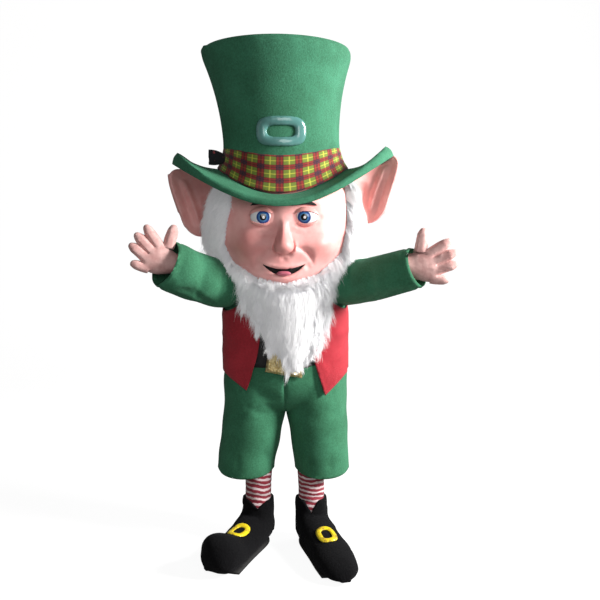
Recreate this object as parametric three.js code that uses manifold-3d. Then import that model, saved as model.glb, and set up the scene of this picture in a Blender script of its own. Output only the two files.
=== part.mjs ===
// A worn leprechaun costume: a padded top hat, a hollow mascot head with a fur beard, a waistcoat over
// a green suit, belt, knee breeches, striped stockings, padded gloves and bulbous buckled shoes.
// Millimetres, +Z up, the front faces -Y. "Left" and "right" are the wearer's, so left is at +X.
// Heights in the tables are measured from the floor; the last lines lower the whole costume, so that
// its origin is between the wearer's shoulders.
import * as THREE from "three";
import Module from "manifold-3d";
import { mergeVertices } from "three/addons/utils/BufferGeometryUtils.js";

const wasm = await Module();
wasm.setup();

const SHOULDER_HEIGHT = 1240;
const SEAM = 0.3;
const CLOTH = 3;
const FELT = 6;
const SHELL = 6;
const FLEECE = 6;
const BODY_COLUMNS = 24;
const LIMB_COLUMNS = 12;
const LEG_COLUMNS = 16;
const HEAD_COLUMNS = 24;
const HAT_COLUMNS = 26;
const BODY_ROUNDNESS = 2.3;
const FAR = 900;

const RIGHT = { name: "right", side: -1 };
const LEFT = { name: "left", side: 1 };
const HAND_TURN = { right: 0.3, left: 0.04 };

// Suit and body sections: half width across, half depth front to back, and the centre's y.
const TORSO = [
  { height: 780, halfWidth: 254.6, halfDepth: 178.6, centre: 0 },
  { height: 905, halfWidth: 254.6, halfDepth: 178.6, centre: 0 },
  { height: 1010, halfWidth: 258, halfDepth: 178, centre: 0 },
  { height: 1090, halfWidth: 252, halfDepth: 172, centre: 0 },
  { height: 1160, halfWidth: 240, halfDepth: 158, centre: 4 },
  { height: 1210, halfWidth: 214, halfDepth: 138, centre: 8 },
  { height: 1245, halfWidth: 168, halfDepth: 114, centre: 12 },
  { height: 1262, halfWidth: 126, halfDepth: 98, centre: 14 },
];

// Breeches: the seat above the crotch, then each leg, whose hem dips in front.
const WAIST_TOP = 915;
const HIPS = [
  { height: 578, halfWidth: 190, halfDepth: 34, centre: 0 },
  { height: 602, halfWidth: 250, halfDepth: 92, centre: 0 },
  { height: 646, halfWidth: 262, halfDepth: 146, centre: 0 },
  { height: 720, halfWidth: 264, halfDepth: 182, centre: 0 },
  { height: 780, halfWidth: 258, halfDepth: 182, centre: 0 },
  { height: WAIST_TOP, halfWidth: 258, halfDepth: 182, centre: 0 },
];
const WAIST = HIPS[HIPS.length - 1];
const HEM_DIP = 18;
const RIGHT_LEG = [
  { height: 332, out: 172, halfWidth: 124, halfDepth: 120 },
  { height: 362, out: 170, halfWidth: 122, halfDepth: 121 },
  { height: 450, out: 153, halfWidth: 128, halfDepth: 128 },
  { height: 572, out: 133, halfWidth: 132, halfDepth: 148 },
  { height: 700, out: 128, halfWidth: 126, halfDepth: 150 },
];
const LEFT_LEG = [
  { height: 332, out: 156, halfWidth: 118, halfDepth: 118 },
  { height: 362, out: 155, halfWidth: 116, halfDepth: 119 },
  { height: 450, out: 147, halfWidth: 122, halfDepth: 128 },
  { height: 572, out: 134, halfWidth: 130, halfDepth: 148 },
  { height: 700, out: 128, halfWidth: 126, halfDepth: 150 },
];

// Sleeve centre lines from inside the shoulder to the cuff, reaching forward and out.
const RIGHT_ARM = [
  { out: 130, front: 0, height: 1138, radius: 104 },
  { out: 205, front: 40, height: 1138, radius: 112 },
  { out: 285, front: 140, height: 1142, radius: 108 },
  { out: 358, front: 232, height: 1174, radius: 103 },
  { out: 448, front: 300, height: 1227, radius: 100 },
];
const LEFT_ARM = [
  { out: 130, front: 0, height: 1138, radius: 104 },
  { out: 210, front: 40, height: 1142, radius: 110 },
  { out: 305, front: 140, height: 1146, radius: 98 },
  { out: 400, front: 235, height: 1172, radius: 92 },
  { out: 506, front: 300, height: 1212, radius: 84 },
];
const SLEEVE_ROWS = 6;
// Folds pressed into each sleeve: place along it, clock angle round it, and depth.
const SLEEVE_FOLDS = [
  { along: 0.42, clock: 1.1, depth: 7 },
  { along: 0.58, clock: 3.6, depth: 9 },
  { along: 0.72, clock: 5.2, depth: 6 },
];
const FOLD_LENGTH = 0.11;

// Waistcoat: how far it stands off the suit, and its outlines seen from the front.
const VEST_EASE = [
  { height: 680, ease: 13 },
  { height: 905, ease: 12 },
  { height: 1010, ease: 9 },
  { height: 1090, ease: 6 },
  { height: 1160, ease: 3.7 },
  { height: 1262, ease: 3.7 },
];
const VEST_TOP = 1250;
const RIGHT_VEST_FRONT = [
  { out: 128, height: 1250 },
  { out: 104, height: 1090 },
  { out: 98, height: 1000 },
  { out: 100, height: 900 },
  { out: 113, height: 822 },
  { out: 156, height: 704 },
  { out: 300, height: 788 },
  { out: 300, height: 1250 },
];
const LEFT_VEST_FRONT = [
  { out: 128, height: 1250 },
  { out: 104, height: 1090 },
  { out: 98, height: 1000 },
  { out: 102, height: 900 },
  { out: 117, height: 832 },
  { out: 162, height: 682 },
  { out: 300, height: 796 },
  { out: 300, height: 1250 },
];
const VEST_BACK_HEM = 768;
const ARMHOLE_MARGIN = 14;

const BELT = { bottom: 800, top: 924, thickness: 4 };
// The padded buckle's grid: shares across and up; the outermost two rows and columns are its border.
const BUCKLE_ACROSS = [-0.5, -0.42, -0.36, -0.18, 0, 0.18, 0.36, 0.42, 0.5];
const BUCKLE_UP = [-0.5, -0.41, -0.34, 0, 0.34, 0.41, 0.5];
const BUCKLE_SEAT = 0.9;
const BELT_BUCKLE = { centre: 6, height: 836, width: 150, tall: 128, turn: -0.165, border: 14, field: 8 };

// Mascot head: a hollow shell, widest at the cheeks and narrowing to the chin.
const HEAD = [
  { height: 1132, halfWidth: 70, halfDepth: 60, centre: -160 },
  { height: 1160, halfWidth: 150, halfDepth: 130, centre: -128 },
  { height: 1205, halfWidth: 225, halfDepth: 208, centre: -66 },
  { height: 1260, halfWidth: 276, halfDepth: 246, centre: -34 },
  { height: 1330, halfWidth: 304, halfDepth: 264, centre: -20 },
  { height: 1400, halfWidth: 304, halfDepth: 264, centre: -18 },
  { height: 1460, halfWidth: 288, halfDepth: 254, centre: -16 },
  { height: 1515, halfWidth: 260, halfDepth: 236, centre: -15 },
  { height: 1575, halfWidth: 220, halfDepth: 204, centre: -15 },
  { height: 1630, halfWidth: 166, halfDepth: 156, centre: -15 },
  { height: 1668, halfWidth: 96, halfDepth: 92, centre: -15 },
];
const NOSE = [
  { height: 1392, halfWidth: 15, reach: 2 },
  { height: 1360, halfWidth: 20, reach: 20 },
  { height: 1325, halfWidth: 30, reach: 42 },
  { height: 1297, halfWidth: 42, reach: 60 },
  { height: 1272, halfWidth: 38, reach: 54 },
  { height: 1254, halfWidth: 18, reach: 26 },
];
const NOSE_COLUMNS = 10;
const NOSE_ROOT = 12;
const EYE = { out: 84, height: 1402, halfWidth: 44, halfTall: 34, halfDepth: 22, proud: 9 };
const BROW = { from: 46, to: 128, height: 1447, arch: 9, half: 7, thickness: 5, taper: 0.4 };
const EYE_LATITUDES = [-68, -36, 0, 36, 68];
const BROW_SEAT = 0.7;
const MOUTH = { halfWidth: 84, corner: 1222, upperSag: 20, lowerSag: 50 };
const TONGUE = { halfWidth: 34, halfTall: 11, halfDepth: 12, height: 1186 };
const LINER = { heights: [1160, 1180, 1205, 1232], places: [-100, -50, 0, 50, 100], gap: 2 };
const NECK = { halfWidth: 175, halfDepth: 118, centre: 14, bottom: 1100, top: 1300 };

// Ears: one row for each height, from the root to the rim, with how far the bowl is hollowed.
const EAR_HEIGHT_OFFSET = { right: 0, left: 56 };
const EAR_OUT_OFFSET = { right: 0, left: -8 };
const EAR = [
  { height: 1322, from: 322, to: 372, bowl: 0 },
  { height: 1338, from: 300, to: 404, bowl: 6 },
  { height: 1370, from: 284, to: 432, bowl: 18 },
  { height: 1425, from: 280, to: 450, bowl: 26 },
  { height: 1485, from: 280, to: 470, bowl: 28 },
  { height: 1540, from: 290, to: 486, bowl: 24 },
  { height: 1580, from: 330, to: 490, bowl: 12 },
  { height: 1604, from: 390, to: 468, bowl: 0 },
];
// The ear's section: share of the way from root to rim, how far back it lies, and its share of the bowl.
const EAR_SECTION = [
  { across: 0.0, back: 4, bowl: 0 },
  { across: 0.28, back: 12, bowl: 0.7 },
  { across: 0.52, back: 14, bowl: 1.0 },
  { across: 0.76, back: 10, bowl: 0.5 },
  { across: 0.9, back: -6, bowl: 0 },
  { across: 1.0, back: 4, bowl: 0 },
  { across: 0.95, back: 18, bowl: 0 },
  { across: 0.6, back: 46, bowl: 0 },
  { across: 0.25, back: 50, bowl: 0 },
  { across: 0.0, back: 44, bowl: 0 },
];
const EAR_CENTRE = 10;

// Fur: sections of the beard from the sideburns down to its point, and of the fur behind the head.
const BEARD = [
  { height: 808, right: -38, left: 62, front: 262, back: 236 },
  { height: 850, right: 4, left: 90, front: 270, back: 218 },
  { height: 900, right: 58, left: 116, front: 276, back: 206 },
  { height: 950, right: 90, left: 146, front: 284, back: 196 },
  { height: 1010, right: 120, left: 168, front: 292, back: 120 },
  { height: 1065, right: 156, left: 188, front: 298, back: 100 },
  { height: 1110, right: 200, left: 214, front: 304, back: 60 },
  { height: 1170, right: 246, left: 264, front: 308, back: 12 },
  { height: 1235, right: 306, left: 316, front: 312, back: 12 },
  { height: 1310, right: 338, left: 336, front: 312, back: 12 },
  { height: 1400, right: 340, left: 334, front: 306, back: 12 },
  { height: 1475, right: 322, left: 314, front: 290, back: 12 },
  { height: 1560, right: 286, left: 280, front: 276, back: 12 },
];
// Fur above this height follows the hat's foot, which sags in front and behind.
const FUR_SAG = { from: 1400, share: 0.475 };
const BEARD_COLUMNS = 18;
// The face left open inside the fur, seen from the front.
const FACE_EDGE = [
  { x: -206, height: 1560 },
  { x: -206, height: 1450 },
  { x: -226, height: 1380 },
  { x: -238, height: 1296 },
  { x: -204, height: 1226 },
  { x: -114, height: 1168 },
  { x: 4, height: 1142 },
  { x: 138, height: 1180 },
  { x: 230, height: 1262 },
  { x: 252, height: 1380 },
  { x: 246, height: 1560 },
];
// Locks that stand out of the beard's edge: their root, their tip and their width.
const LOCKS = [
  { x: -222, height: 1164, tipX: -236, tipHeight: 1098, radius: 22 },
  { x: -156, height: 1096, tipX: -166, tipHeight: 1030, radius: 20 },
  { x: -104, height: 1010, tipX: -110, tipHeight: 944, radius: 19 },
  { x: -62, height: 930, tipX: -58, tipHeight: 868, radius: 17 },
  { x: 6, height: 866, tipX: 22, tipHeight: 812, radius: 16 },
  { x: 90, height: 900, tipX: 94, tipHeight: 842, radius: 16 },
  { x: 138, height: 960, tipX: 142, tipHeight: 892, radius: 18 },
  { x: 170, height: 1060, tipX: 172, tipHeight: 984, radius: 19 },
  { x: 238, height: 1172, tipX: 234, tipHeight: 1102, radius: 22 },
];
const LOCK_DEPTH_SHARE = 0.5;
const FUR_SEAT = 0.7;
// Room left in the beard for the belt buckle behind it.
const BUCKLE_ROOM = { from: -110, to: 120, below: 100, above: 10, gap: 3 };
const HAIR = [
  { height: 1130, halfWidth: 226, back: 190 },
  { height: 1170, halfWidth: 268, back: 226 },
  { height: 1235, halfWidth: 306, back: 262 },
  { height: 1310, halfWidth: 336, back: 284 },
  { height: 1400, halfWidth: 336, back: 286 },
  { height: 1470, halfWidth: 316, back: 268 },
  { height: 1560, halfWidth: 276, back: 244 },
];
const HAIR_FRONT = -12;
const EAR_ROOM = { back: 66, bottom: 1318 };

// Top hat: the crown's radius from its foot to its tip; the foot and the band's top sag in front.
const HAT_CENTRE_Y = -15;
const HAT_DEPTH_SHARE = 0.965;
const HAT_FOOT = { front: 1486, side: 1603 };
const BAND_TOP = { front: 1643, side: 1694 };
const BAND_SHARE = 0.2;
const HAT_TOP = 2068;
// The tip: share of the radius and lift of each of its rings.
const TIP = [[1, -6], [1, -0.3], [0.8, 3], [0.3, 4]];
const HAT_LEAN = { foot: -9, top: -34 };
const CROWN = [
  { share: 0.0, radius: 270 },
  { share: 0.07, radius: 247 },
  { share: 0.2, radius: 238 },
  { share: 0.42, radius: 245 },
  { share: 0.62, radius: 260 },
  { share: 0.82, radius: 285 },
  { share: 0.955, radius: 310 },
  { share: 0.985, radius: 313 },
  { share: 1.0, radius: 305 },
];
const BAND_THICKNESS = 2;
const BAND_EDGE = 0.005;
const BAND_GAP = 1.6;
const BRIM_SEAT = { inside: 14, outside: 5 };
const SEAT_GAP = 0.9;
const BRIM_FOOT = 10;
const BRIM_REACH = { right: 452, left: 448, front: 72, back: 72 };
const BRIM_EDGE = { front: 1448, back: 1448, right: 1652, left: 1684 };
// The brim's section: share of the way out, then the heights of its upper and lower faces.
const BRIM_SECTION = [
  { across: 0.0, upper: 0, lower: -10 },
  { across: 0.3, upper: 2, lower: -10 },
  { across: 0.68, upper: 6, lower: -9 },
  { across: 0.88, upper: 11, lower: -12 },
  { across: 0.96, upper: 10, lower: -12 },
];
// How sharply the edge turns up towards the sides, and how much thicker the rolled edge is there.
const BRIM_CURL = 2.4;
const BRIM_SWELL = 1.4;
const HAT_BUCKLE = {
  x: -10, height: 1724, width: 190, tall: 112, rim: 40, thickness: 12, corner: 4, seat: 1.4, bevel: 6,
  lip: 1, upright: 0.86,
};
const HAT_BUCKLE_POINTS = 24;
const BOW = { clock: 0.42, share: 0.1, rise: 0.04, length: 66, tall: 66, thickness: 18 };

const STOCKING = { top: 362, bottom: 110, halfWidth: 57, kneeHalfWidth: 64, wall: 2, y: -12 };
const STOCKING_SEAT = 0.7;
const ANKLE_ROWS = [
  { height: 185, wider: 0, inward: 0 },
  { height: 250, wider: 1, inward: 0 },
  { height: 320, wider: 2, inward: 3 },
];
const STOCKING_OUT = { right: 118, left: 111 };

// Padded gloves: digits from the palm, along the hand and across it towards the thumb.
const HAND = [
  { digit: "thumb", along: 30, across: 48, tipAlong: 74, tipAcross: 134, radius: 29.1, tipRadius: 19 },
  { digit: "index", along: 50, across: 30, tipAlong: 156, tipAcross: 54, radius: 25.8, tipRadius: 17.9 },
  { digit: "middle", along: 54, across: -1, tipAlong: 162, tipAcross: 6, radius: 25.8, tipRadius: 17.9 },
  { digit: "ring", along: 48, across: -32, tipAlong: 150, tipAcross: -38, radius: 25.8, tipRadius: 17.9 },
  { digit: "little", along: 30, across: -58, tipAlong: 98, tipAcross: -88, radius: 23.5, tipRadius: 16.8 },
];
const PALM = [
  { along: -48, across: 0, halfAcross: 56, halfThick: 44 },
  { along: -8, across: 0, halfAcross: 54, halfThick: 38 },
  { along: 26, across: -4, halfAcross: 68, halfThick: 34 },
  { along: 56, across: -8, halfAcross: 62, halfThick: 29 },
  { along: 72, across: -6, halfAcross: 42, halfThick: 20 },
];
const WRIST_PRESS = 2;
const HAND_LEAN = { forward: 30, rise: 0.9 };
const PALM_COLUMNS = 10;
const DIGIT_COLUMNS = 6;

// Shoes: sections along the foot, from the heel to the toe; the right toe curls up.
const SOLE = 10;
const SOLE_SHARE = 0.8;
const SOLE_TOE = { reach: 10, share: 0.6 };
const SOLE_HEEL = { reach: 8, share: 0.7 };
const SHOE_LEG = { y: -12, halfWidth: 74, halfDepth: 68, top: 204, foot: 60, waist: 150, pull: 2 };
const NOTCH = { half: 52, above: 40, depth: 20 };
const THROAT = { from: 60, to: 230, gap: 0.8 };
const RIGHT_SHOE = {
  out: 104, heel: 50, turn: 0.39, dip: 168, buckle: 240,
  sections: [
    { along: 0, halfWidth: 42, bottom: 22, top: 96 },
    { along: 16, halfWidth: 66, bottom: SOLE, top: 140 },
    { along: 70, halfWidth: 78, bottom: SOLE, top: 158 },
    { along: 140, halfWidth: 78, bottom: SOLE, top: 140 },
    { along: 224, halfWidth: 78, bottom: SOLE, top: 118 },
    { along: 298, halfWidth: 82, bottom: SOLE, top: 124 },
    { along: 362, halfWidth: 86, bottom: SOLE, top: 164 },
    { along: 422, halfWidth: 76, bottom: 13, top: 180 },
    { along: 460, halfWidth: 42, bottom: 46, top: 154 },
  ],
};
const LEFT_SHOE = {
  out: 94, heel: 52, turn: 0.3, dip: 150, buckle: 276,
  sections: [
    { along: 0, halfWidth: 42, bottom: 22, top: 96 },
    { along: 16, halfWidth: 64, bottom: SOLE, top: 140 },
    { along: 70, halfWidth: 76, bottom: SOLE, top: 158 },
    { along: 140, halfWidth: 78, bottom: SOLE, top: 146 },
    { along: 224, halfWidth: 78, bottom: SOLE, top: 130 },
    { along: 306, halfWidth: 84, bottom: SOLE, top: 118 },
    { along: 390, halfWidth: 82, bottom: SOLE, top: 104 },
    { along: 460, halfWidth: 62, bottom: 11, top: 86 },
    { along: 490, halfWidth: 30, bottom: 20, top: 62 },
  ],
};
const SHOE_COLUMNS = 16;
const SHOE_BUCKLE = {
  half: 54, across: 40, shift: 6, rim: 22, thickness: 7, seat: 1.2, bevel: 4, lip: 1, square: 0.6,
};
const SHOE_BUCKLE_POINTS = 20;

const COLOUR = {
  felt: 0x3f8f63, suit: 0x2f7a50, vest: 0xb8323c, belt: 0x17181a, gold: 0xc9a250, skin: 0xe2a090,
  fur: 0xf2f0ec, tartan: 0x4a5a24, silver: 0x8fb6bd, black: 0x141416, tongue: 0xb0607a,
  eye: 0xf4f6f8, stocking: 0xd88c92, yellow: 0xe8d83a,
};

const costume = new THREE.Group();
costume.position.z = -SHOULDER_HEIGHT;

/** Straight-line value of a table's column at a place between its rows. */
function lookUp(table, key, place, column) {
  const last = table.length - 1;
  if (place <= table[0][key]) return table[0][column];
  if (place >= table[last][key]) return table[last][column];
  const above = table.findIndex((row) => row[key] >= place);
  const low = table[above - 1];
  const high = table[above];
  const share = (place - low[key]) / (high[key] - low[key]);
  return THREE.MathUtils.lerp(low[column], high[column], share);
}

/** A closed mesh, its faces turned outward if they came inside out. */
function closedMesh(points, faces) {
  let volume = 0;
  for (const [a, b, c] of faces) volume += points[a].dot(points[b].clone().cross(points[c]));
  const index = faces.flatMap(([a, b, c]) => (volume < 0 ? [a, c, b] : [a, b, c]));
  const geometry = new THREE.BufferGeometry();
  const positions = points.flatMap((point) => [point.x, point.y, point.z]);
  geometry.setAttribute("position", new THREE.Float32BufferAttribute(positions, 3));
  geometry.setIndex(index);
  geometry.computeVertexNormals();
  return geometry;
}

/** A solid through closed rings with the same number of points, capped at both ends. */
function loft(rings) {
  const columns = rings[0].length;
  const points = rings.flat();
  const faces = [];
  for (let row = 0; row + 1 < rings.length; row++) {
    for (let column = 0; column < columns; column++) {
      const next = (column + 1) % columns;
      const corner = (r, c) => r * columns + c;
      faces.push([corner(row, column), corner(row, next), corner(row + 1, next)]);
      faces.push([corner(row, column), corner(row + 1, next), corner(row + 1, column)]);
    }
  }
  const middle = (ring) => ring.reduce((sum, p) => sum.add(p), new THREE.Vector3()).divideScalar(columns);
  const start = points.push(middle(rings[0])) - 1;
  const end = points.push(middle(rings[rings.length - 1])) - 1;
  const lastRow = (rings.length - 1) * columns;
  for (let column = 0; column < columns; column++) {
    const next = (column + 1) % columns;
    faces.push([start, next, column]);
    faces.push([end, lastRow + column, lastRow + next]);
  }
  return closedMesh(points, faces);
}

/** A plate with a front and a back grid of points, joined round its four edges. */
function plate(front, back) {
  const rows = front.length;
  const columns = front[0].length;
  const points = [...front.flat(), ...back.flat()];
  const at = (layer, row, column) => layer * rows * columns + row * columns + column;
  const faces = [];
  const quad = (a, b, c, d) => faces.push([a, b, c], [a, c, d]);
  for (let r = 0; r + 1 < rows; r++) {
    for (let c = 0; c + 1 < columns; c++) {
      quad(at(0, r, c), at(0, r, c + 1), at(0, r + 1, c + 1), at(0, r + 1, c));
      quad(at(1, r, c), at(1, r + 1, c), at(1, r + 1, c + 1), at(1, r, c + 1));
    }
    quad(at(0, r, 0), at(0, r + 1, 0), at(1, r + 1, 0), at(1, r, 0));
    quad(at(0, r, columns - 1), at(1, r, columns - 1), at(1, r + 1, columns - 1), at(0, r + 1, columns - 1));
  }
  for (let c = 0; c + 1 < columns; c++) {
    quad(at(0, 0, c), at(1, 0, c), at(1, 0, c + 1), at(0, 0, c + 1));
    quad(at(0, rows - 1, c), at(0, rows - 1, c + 1), at(1, rows - 1, c + 1), at(1, rows - 1, c));
  }
  return closedMesh(points, faces);
}

/** A ring-shaped solid: loops of equal count, joined each to the next and the last to the first. */
function torus(loops) {
  const count = loops[0].length;
  const points = loops.flat();
  const faces = [];
  for (let loop = 0; loop < loops.length; loop++) {
    const other = (loop + 1) % loops.length;
    for (let i = 0; i < count; i++) {
      const next = (i + 1) % count;
      const [a, b, c, d] = [loop * count + i, loop * count + next, other * count + next, other * count + i];
      faces.push([a, b, c], [a, c, d]);
    }
  }
  return closedMesh(points, faces);
}

/** The same geometry as a solid that can be joined and cut. */
function solid(geometry) {
  const bare = geometry.clone();
  bare.deleteAttribute("normal");
  bare.deleteAttribute("uv");
  const merged = mergeVertices(bare, 1e-3);
  const vertProperties = new Float32Array(merged.attributes.position.array);
  const triVerts = new Uint32Array(merged.index.array);
  return new wasm.Manifold(new wasm.Mesh({ numProp: 3, vertProperties, triVerts }));
}

/** A joined or cut solid as geometry. */
function geometryOf(shape) {
  const mesh = shape.getMesh();
  const geometry = new THREE.BufferGeometry();
  geometry.setAttribute("position", new THREE.BufferAttribute(new Float32Array(mesh.vertProperties), 3));
  geometry.setIndex(new THREE.BufferAttribute(new Uint32Array(mesh.triVerts), 1));
  geometry.computeVertexNormals();
  return geometry;
}

/** The largest body of a cut solid: crumbs that a cut leaves apart are dropped. */
function largest(shape) {
  return shape.decompose().sort((a, b) => b.volume() - a.volume())[0];
}

function boxBetween(low, high) {
  const size = new THREE.Vector3(high.x - low.x, high.y - low.y, high.z - low.z);
  const geometry = new THREE.BoxGeometry(size.x, size.y, size.z);
  geometry.translate((low.x + high.x) / 2, (low.y + high.y) / 2, (low.z + high.z) / 2);
  return solid(geometry);
}

/** A prism whose outline is seen from the front, between two depths. */
function frontPrism(outline, yFrom, yTo) {
  const shape = new THREE.Shape(outline.map((point) => new THREE.Vector2(point.x, point.height)));
  const geometry = new THREE.ExtrudeGeometry(shape, { depth: yTo - yFrom, bevelEnabled: false });
  geometry.rotateX(Math.PI / 2);
  geometry.translate(0, yTo, 0);
  return solid(geometry);
}

function add(name, shape, colour, roughness = 0.9, metalness = 0) {
  const geometry = shape.isBufferGeometry ? shape : geometryOf(shape);
  const material = new THREE.MeshStandardMaterial({ color: colour, roughness, metalness });
  const mesh = new THREE.Mesh(geometry, material);
  mesh.name = name;
  costume.add(mesh);
}

/** A rounded oval ring at one height, counter-clockwise from above, starting at +X. */
function ovalRing({
  x = 0, centre = 0, halfWidth, halfDepth, height, columns, roundness = 2, tilt = 0, sag = 0,
}) {
  return Array.from({ length: columns }, (_, column) => {
    const angle = (2 * Math.PI * column) / columns;
    const [c, s] = [Math.cos(angle), Math.sin(angle)];
    const px = Math.sign(c) * Math.abs(c) ** (2 / roundness) * halfWidth;
    const py = Math.sign(s) * Math.abs(s) ** (2 / roundness) * halfDepth;
    return new THREE.Vector3(x + px, centre + py, height + (tilt * py) / halfDepth - sag * s * s);
  });
}

/** A solid through the rows of a section table, grown outward, with its ends run on by a reach. */
function bodySolid(table, { grow = 0, endReach = 0, columns = BODY_COLUMNS, roundness = BODY_ROUNDNESS }) {
  const last = table.length - 1;
  const rings = table.map((row, i) => ovalRing({
    centre: row.centre,
    halfWidth: row.halfWidth + grow,
    halfDepth: row.halfDepth + grow,
    height: row.height + (i === 0 ? -endReach : 0) + (i === last ? endReach : 0),
    columns,
    roundness,
  }));
  return solid(loft(rings));
}

const torsoOuter = bodySolid(TORSO, {});
const torsoWall = torsoOuter.subtract(bodySolid(TORSO, { grow: -CLOTH, endReach: 1 }));

/** Sleeve rings square to its centre line, with folds pressed in, grown outward. */
function sleeveRings(arm, side, grow) {
  const centres = arm.map((row) => new THREE.Vector3(side * row.out, -row.front, row.height));
  const path = new THREE.CatmullRomCurve3(centres);
  const up = new THREE.Vector3(0, 0, 1);
  return Array.from({ length: SLEEVE_ROWS + 1 }, (_, row) => {
    const along = row / SLEEVE_ROWS;
    const place = along * (arm.length - 1);
    const low = Math.min(Math.floor(place), arm.length - 2);
    const radius = THREE.MathUtils.lerp(arm[low].radius, arm[low + 1].radius, place - low);
    const tangent = path.getTangent(along);
    const across = up.clone().cross(tangent).normalize();
    const rise = tangent.clone().cross(across);
    return Array.from({ length: LIMB_COLUMNS }, (_, column) => {
      const clock = (2 * Math.PI * column) / LIMB_COLUMNS;
      const fold = SLEEVE_FOLDS.reduce((sum, f) => {
        const near = Math.exp(-(((along - f.along) / FOLD_LENGTH) ** 2));
        return sum + f.depth * near * Math.max(0, Math.cos(clock - f.clock));
      }, 0);
      const reach = radius + grow - fold;
      return path.getPoint(along)
        .addScaledVector(across, reach * Math.cos(clock))
        .addScaledVector(rise, reach * Math.sin(clock));
    });
  });
}

/** The same sleeve a little longer at the cuff, so that what it cuts stays open there. */
function sleeveSolid(arm, side, grow, cuffReach = 0) {
  const rings = sleeveRings(arm, side, grow);
  if (cuffReach > 0) {
    const last = rings[rings.length - 1];
    const before = rings[rings.length - 2];
    const step = last[0].clone().sub(before[0]).setLength(cuffReach);
    rings.push(last.map((point) => point.clone().add(step)));
  }
  return solid(loft(rings));
}

const ARMS = [{ ...RIGHT, arm: RIGHT_ARM }, { ...LEFT, arm: LEFT_ARM }];
const sleevesGrown = (grow) => ARMS
  .map(({ arm, side }) => sleeveSolid(arm, side, grow))
  .reduce((joined, sleeve) => joined.add(sleeve));

const frontHalf = boxBetween({ x: -FAR, y: -FAR, z: -FAR }, { x: FAR, y: -SEAM / 2, z: 3 * FAR });
const backHalf = boxBetween({ x: -FAR, y: SEAM / 2, z: -FAR }, { x: FAR, y: FAR, z: 3 * FAR });
const rightHalf = boxBetween({ x: -FAR, y: -FAR, z: -FAR }, { x: -SEAM / 2, y: FAR, z: 3 * FAR });
const leftHalf = boxBetween({ x: SEAM / 2, y: -FAR, z: -FAR }, { x: FAR, y: FAR, z: 3 * FAR });

function addSuitTop() {
  const body = torsoWall.subtract(sleevesGrown(SEAM));
  add("suit_front", body.intersect(frontHalf), COLOUR.suit);
  add("suit_back", body.intersect(backHalf), COLOUR.suit);
  const torsoGrown = bodySolid(TORSO, { grow: SEAM });
  for (const { name, side, arm } of ARMS) {
    const wall = sleeveSolid(arm, side, 0).subtract(sleeveSolid(arm, side, -CLOTH, CLOTH));
    add(`sleeve_${name}`, wall.subtract(torsoGrown), COLOUR.suit);
  }
}

function vestTable(extra) {
  const heights = [VEST_EASE[0].height, ...TORSO.slice(1).map((row) => row.height)];
  return heights.map((height) => {
    const grow = lookUp(VEST_EASE, "height", height, "ease") + extra;
    return {
      height,
      centre: lookUp(TORSO, "height", height, "centre"),
      halfWidth: lookUp(TORSO, "height", height, "halfWidth") + grow,
      halfDepth: lookUp(TORSO, "height", height, "halfDepth") + grow,
    };
  });
}
const vestOuter = bodySolid(vestTable(0), {});

function addVest() {
  const wall = vestOuter.subtract(bodySolid(vestTable(-CLOTH), { endReach: 1 }));
  const trimmed = wall.subtract(sleevesGrown(ARMHOLE_MARGIN));
  const mirrored = (outline, side) => outline.map((p) => ({ x: side * p.out, height: p.height }));
  const right = frontPrism(mirrored(RIGHT_VEST_FRONT, -1).reverse(), -FAR, -SEAM / 2);
  const left = frontPrism(mirrored(LEFT_VEST_FRONT, 1), -FAR, -SEAM / 2);
  const backBox = boxBetween({ x: -FAR, y: SEAM / 2, z: VEST_BACK_HEM }, { x: FAR, y: FAR, z: VEST_TOP });
  add("vest_front_right", trimmed.intersect(right), COLOUR.vest);
  add("vest_front_left", trimmed.intersect(left), COLOUR.vest);
  add("vest_back", trimmed.intersect(backBox), COLOUR.vest);
}

function legSolid(leg, side, grow, hemReach) {
  const rings = leg.map((row, i) => ovalRing({
    x: side * row.out,
    halfWidth: row.halfWidth + grow,
    halfDepth: row.halfDepth + grow,
    height: row.height - (i === 0 ? hemReach : 0),
    columns: LEG_COLUMNS,
    tilt: i < 2 ? HEM_DIP : 0,
  }));
  return solid(loft(rings));
}

function addBreeches() {
  const legs = [{ ...RIGHT, leg: RIGHT_LEG, half: rightHalf }, { ...LEFT, leg: LEFT_LEG, half: leftHalf }];
  const hips = (grow, lift, topReach) => {
    const table = HIPS.map((row, i) => ({
      ...row,
      height: row.height + (i === 0 ? lift : 0) + (i === HIPS.length - 1 ? topReach : 0),
    }));
    return bodySolid(table, { grow });
  };
  let outer = hips(0, 0, 0);
  let inner = hips(-CLOTH, CLOTH, 1);
  for (const { leg, side } of legs) {
    outer = outer.add(legSolid(leg, side, 0, 0));
    inner = inner.add(legSolid(leg, side, -CLOTH, 1));
  }
  const wall = outer.subtract(inner);
  for (const { name, half } of legs) {
    add(`breeches_front_${name}`, wall.intersect(half).intersect(frontHalf), COLOUR.suit);
    add(`breeches_back_${name}`, wall.intersect(half).intersect(backHalf), COLOUR.suit);
  }
}

const beltRow = (height, grow) => ({
  height,
  centre: 0,
  halfWidth: WAIST.halfWidth + SEAM + grow,
  halfDepth: WAIST.halfDepth + SEAM + grow,
});

/** The front of the belt at a place across it, moved out. */
function beltFront(x, out) {
  const row = beltRow(0, BELT.thickness + out);
  return -row.halfDepth * (1 - Math.abs(x / row.halfWidth) ** BODY_ROUNDNESS) ** (1 / BODY_ROUNDNESS);
}

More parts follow.
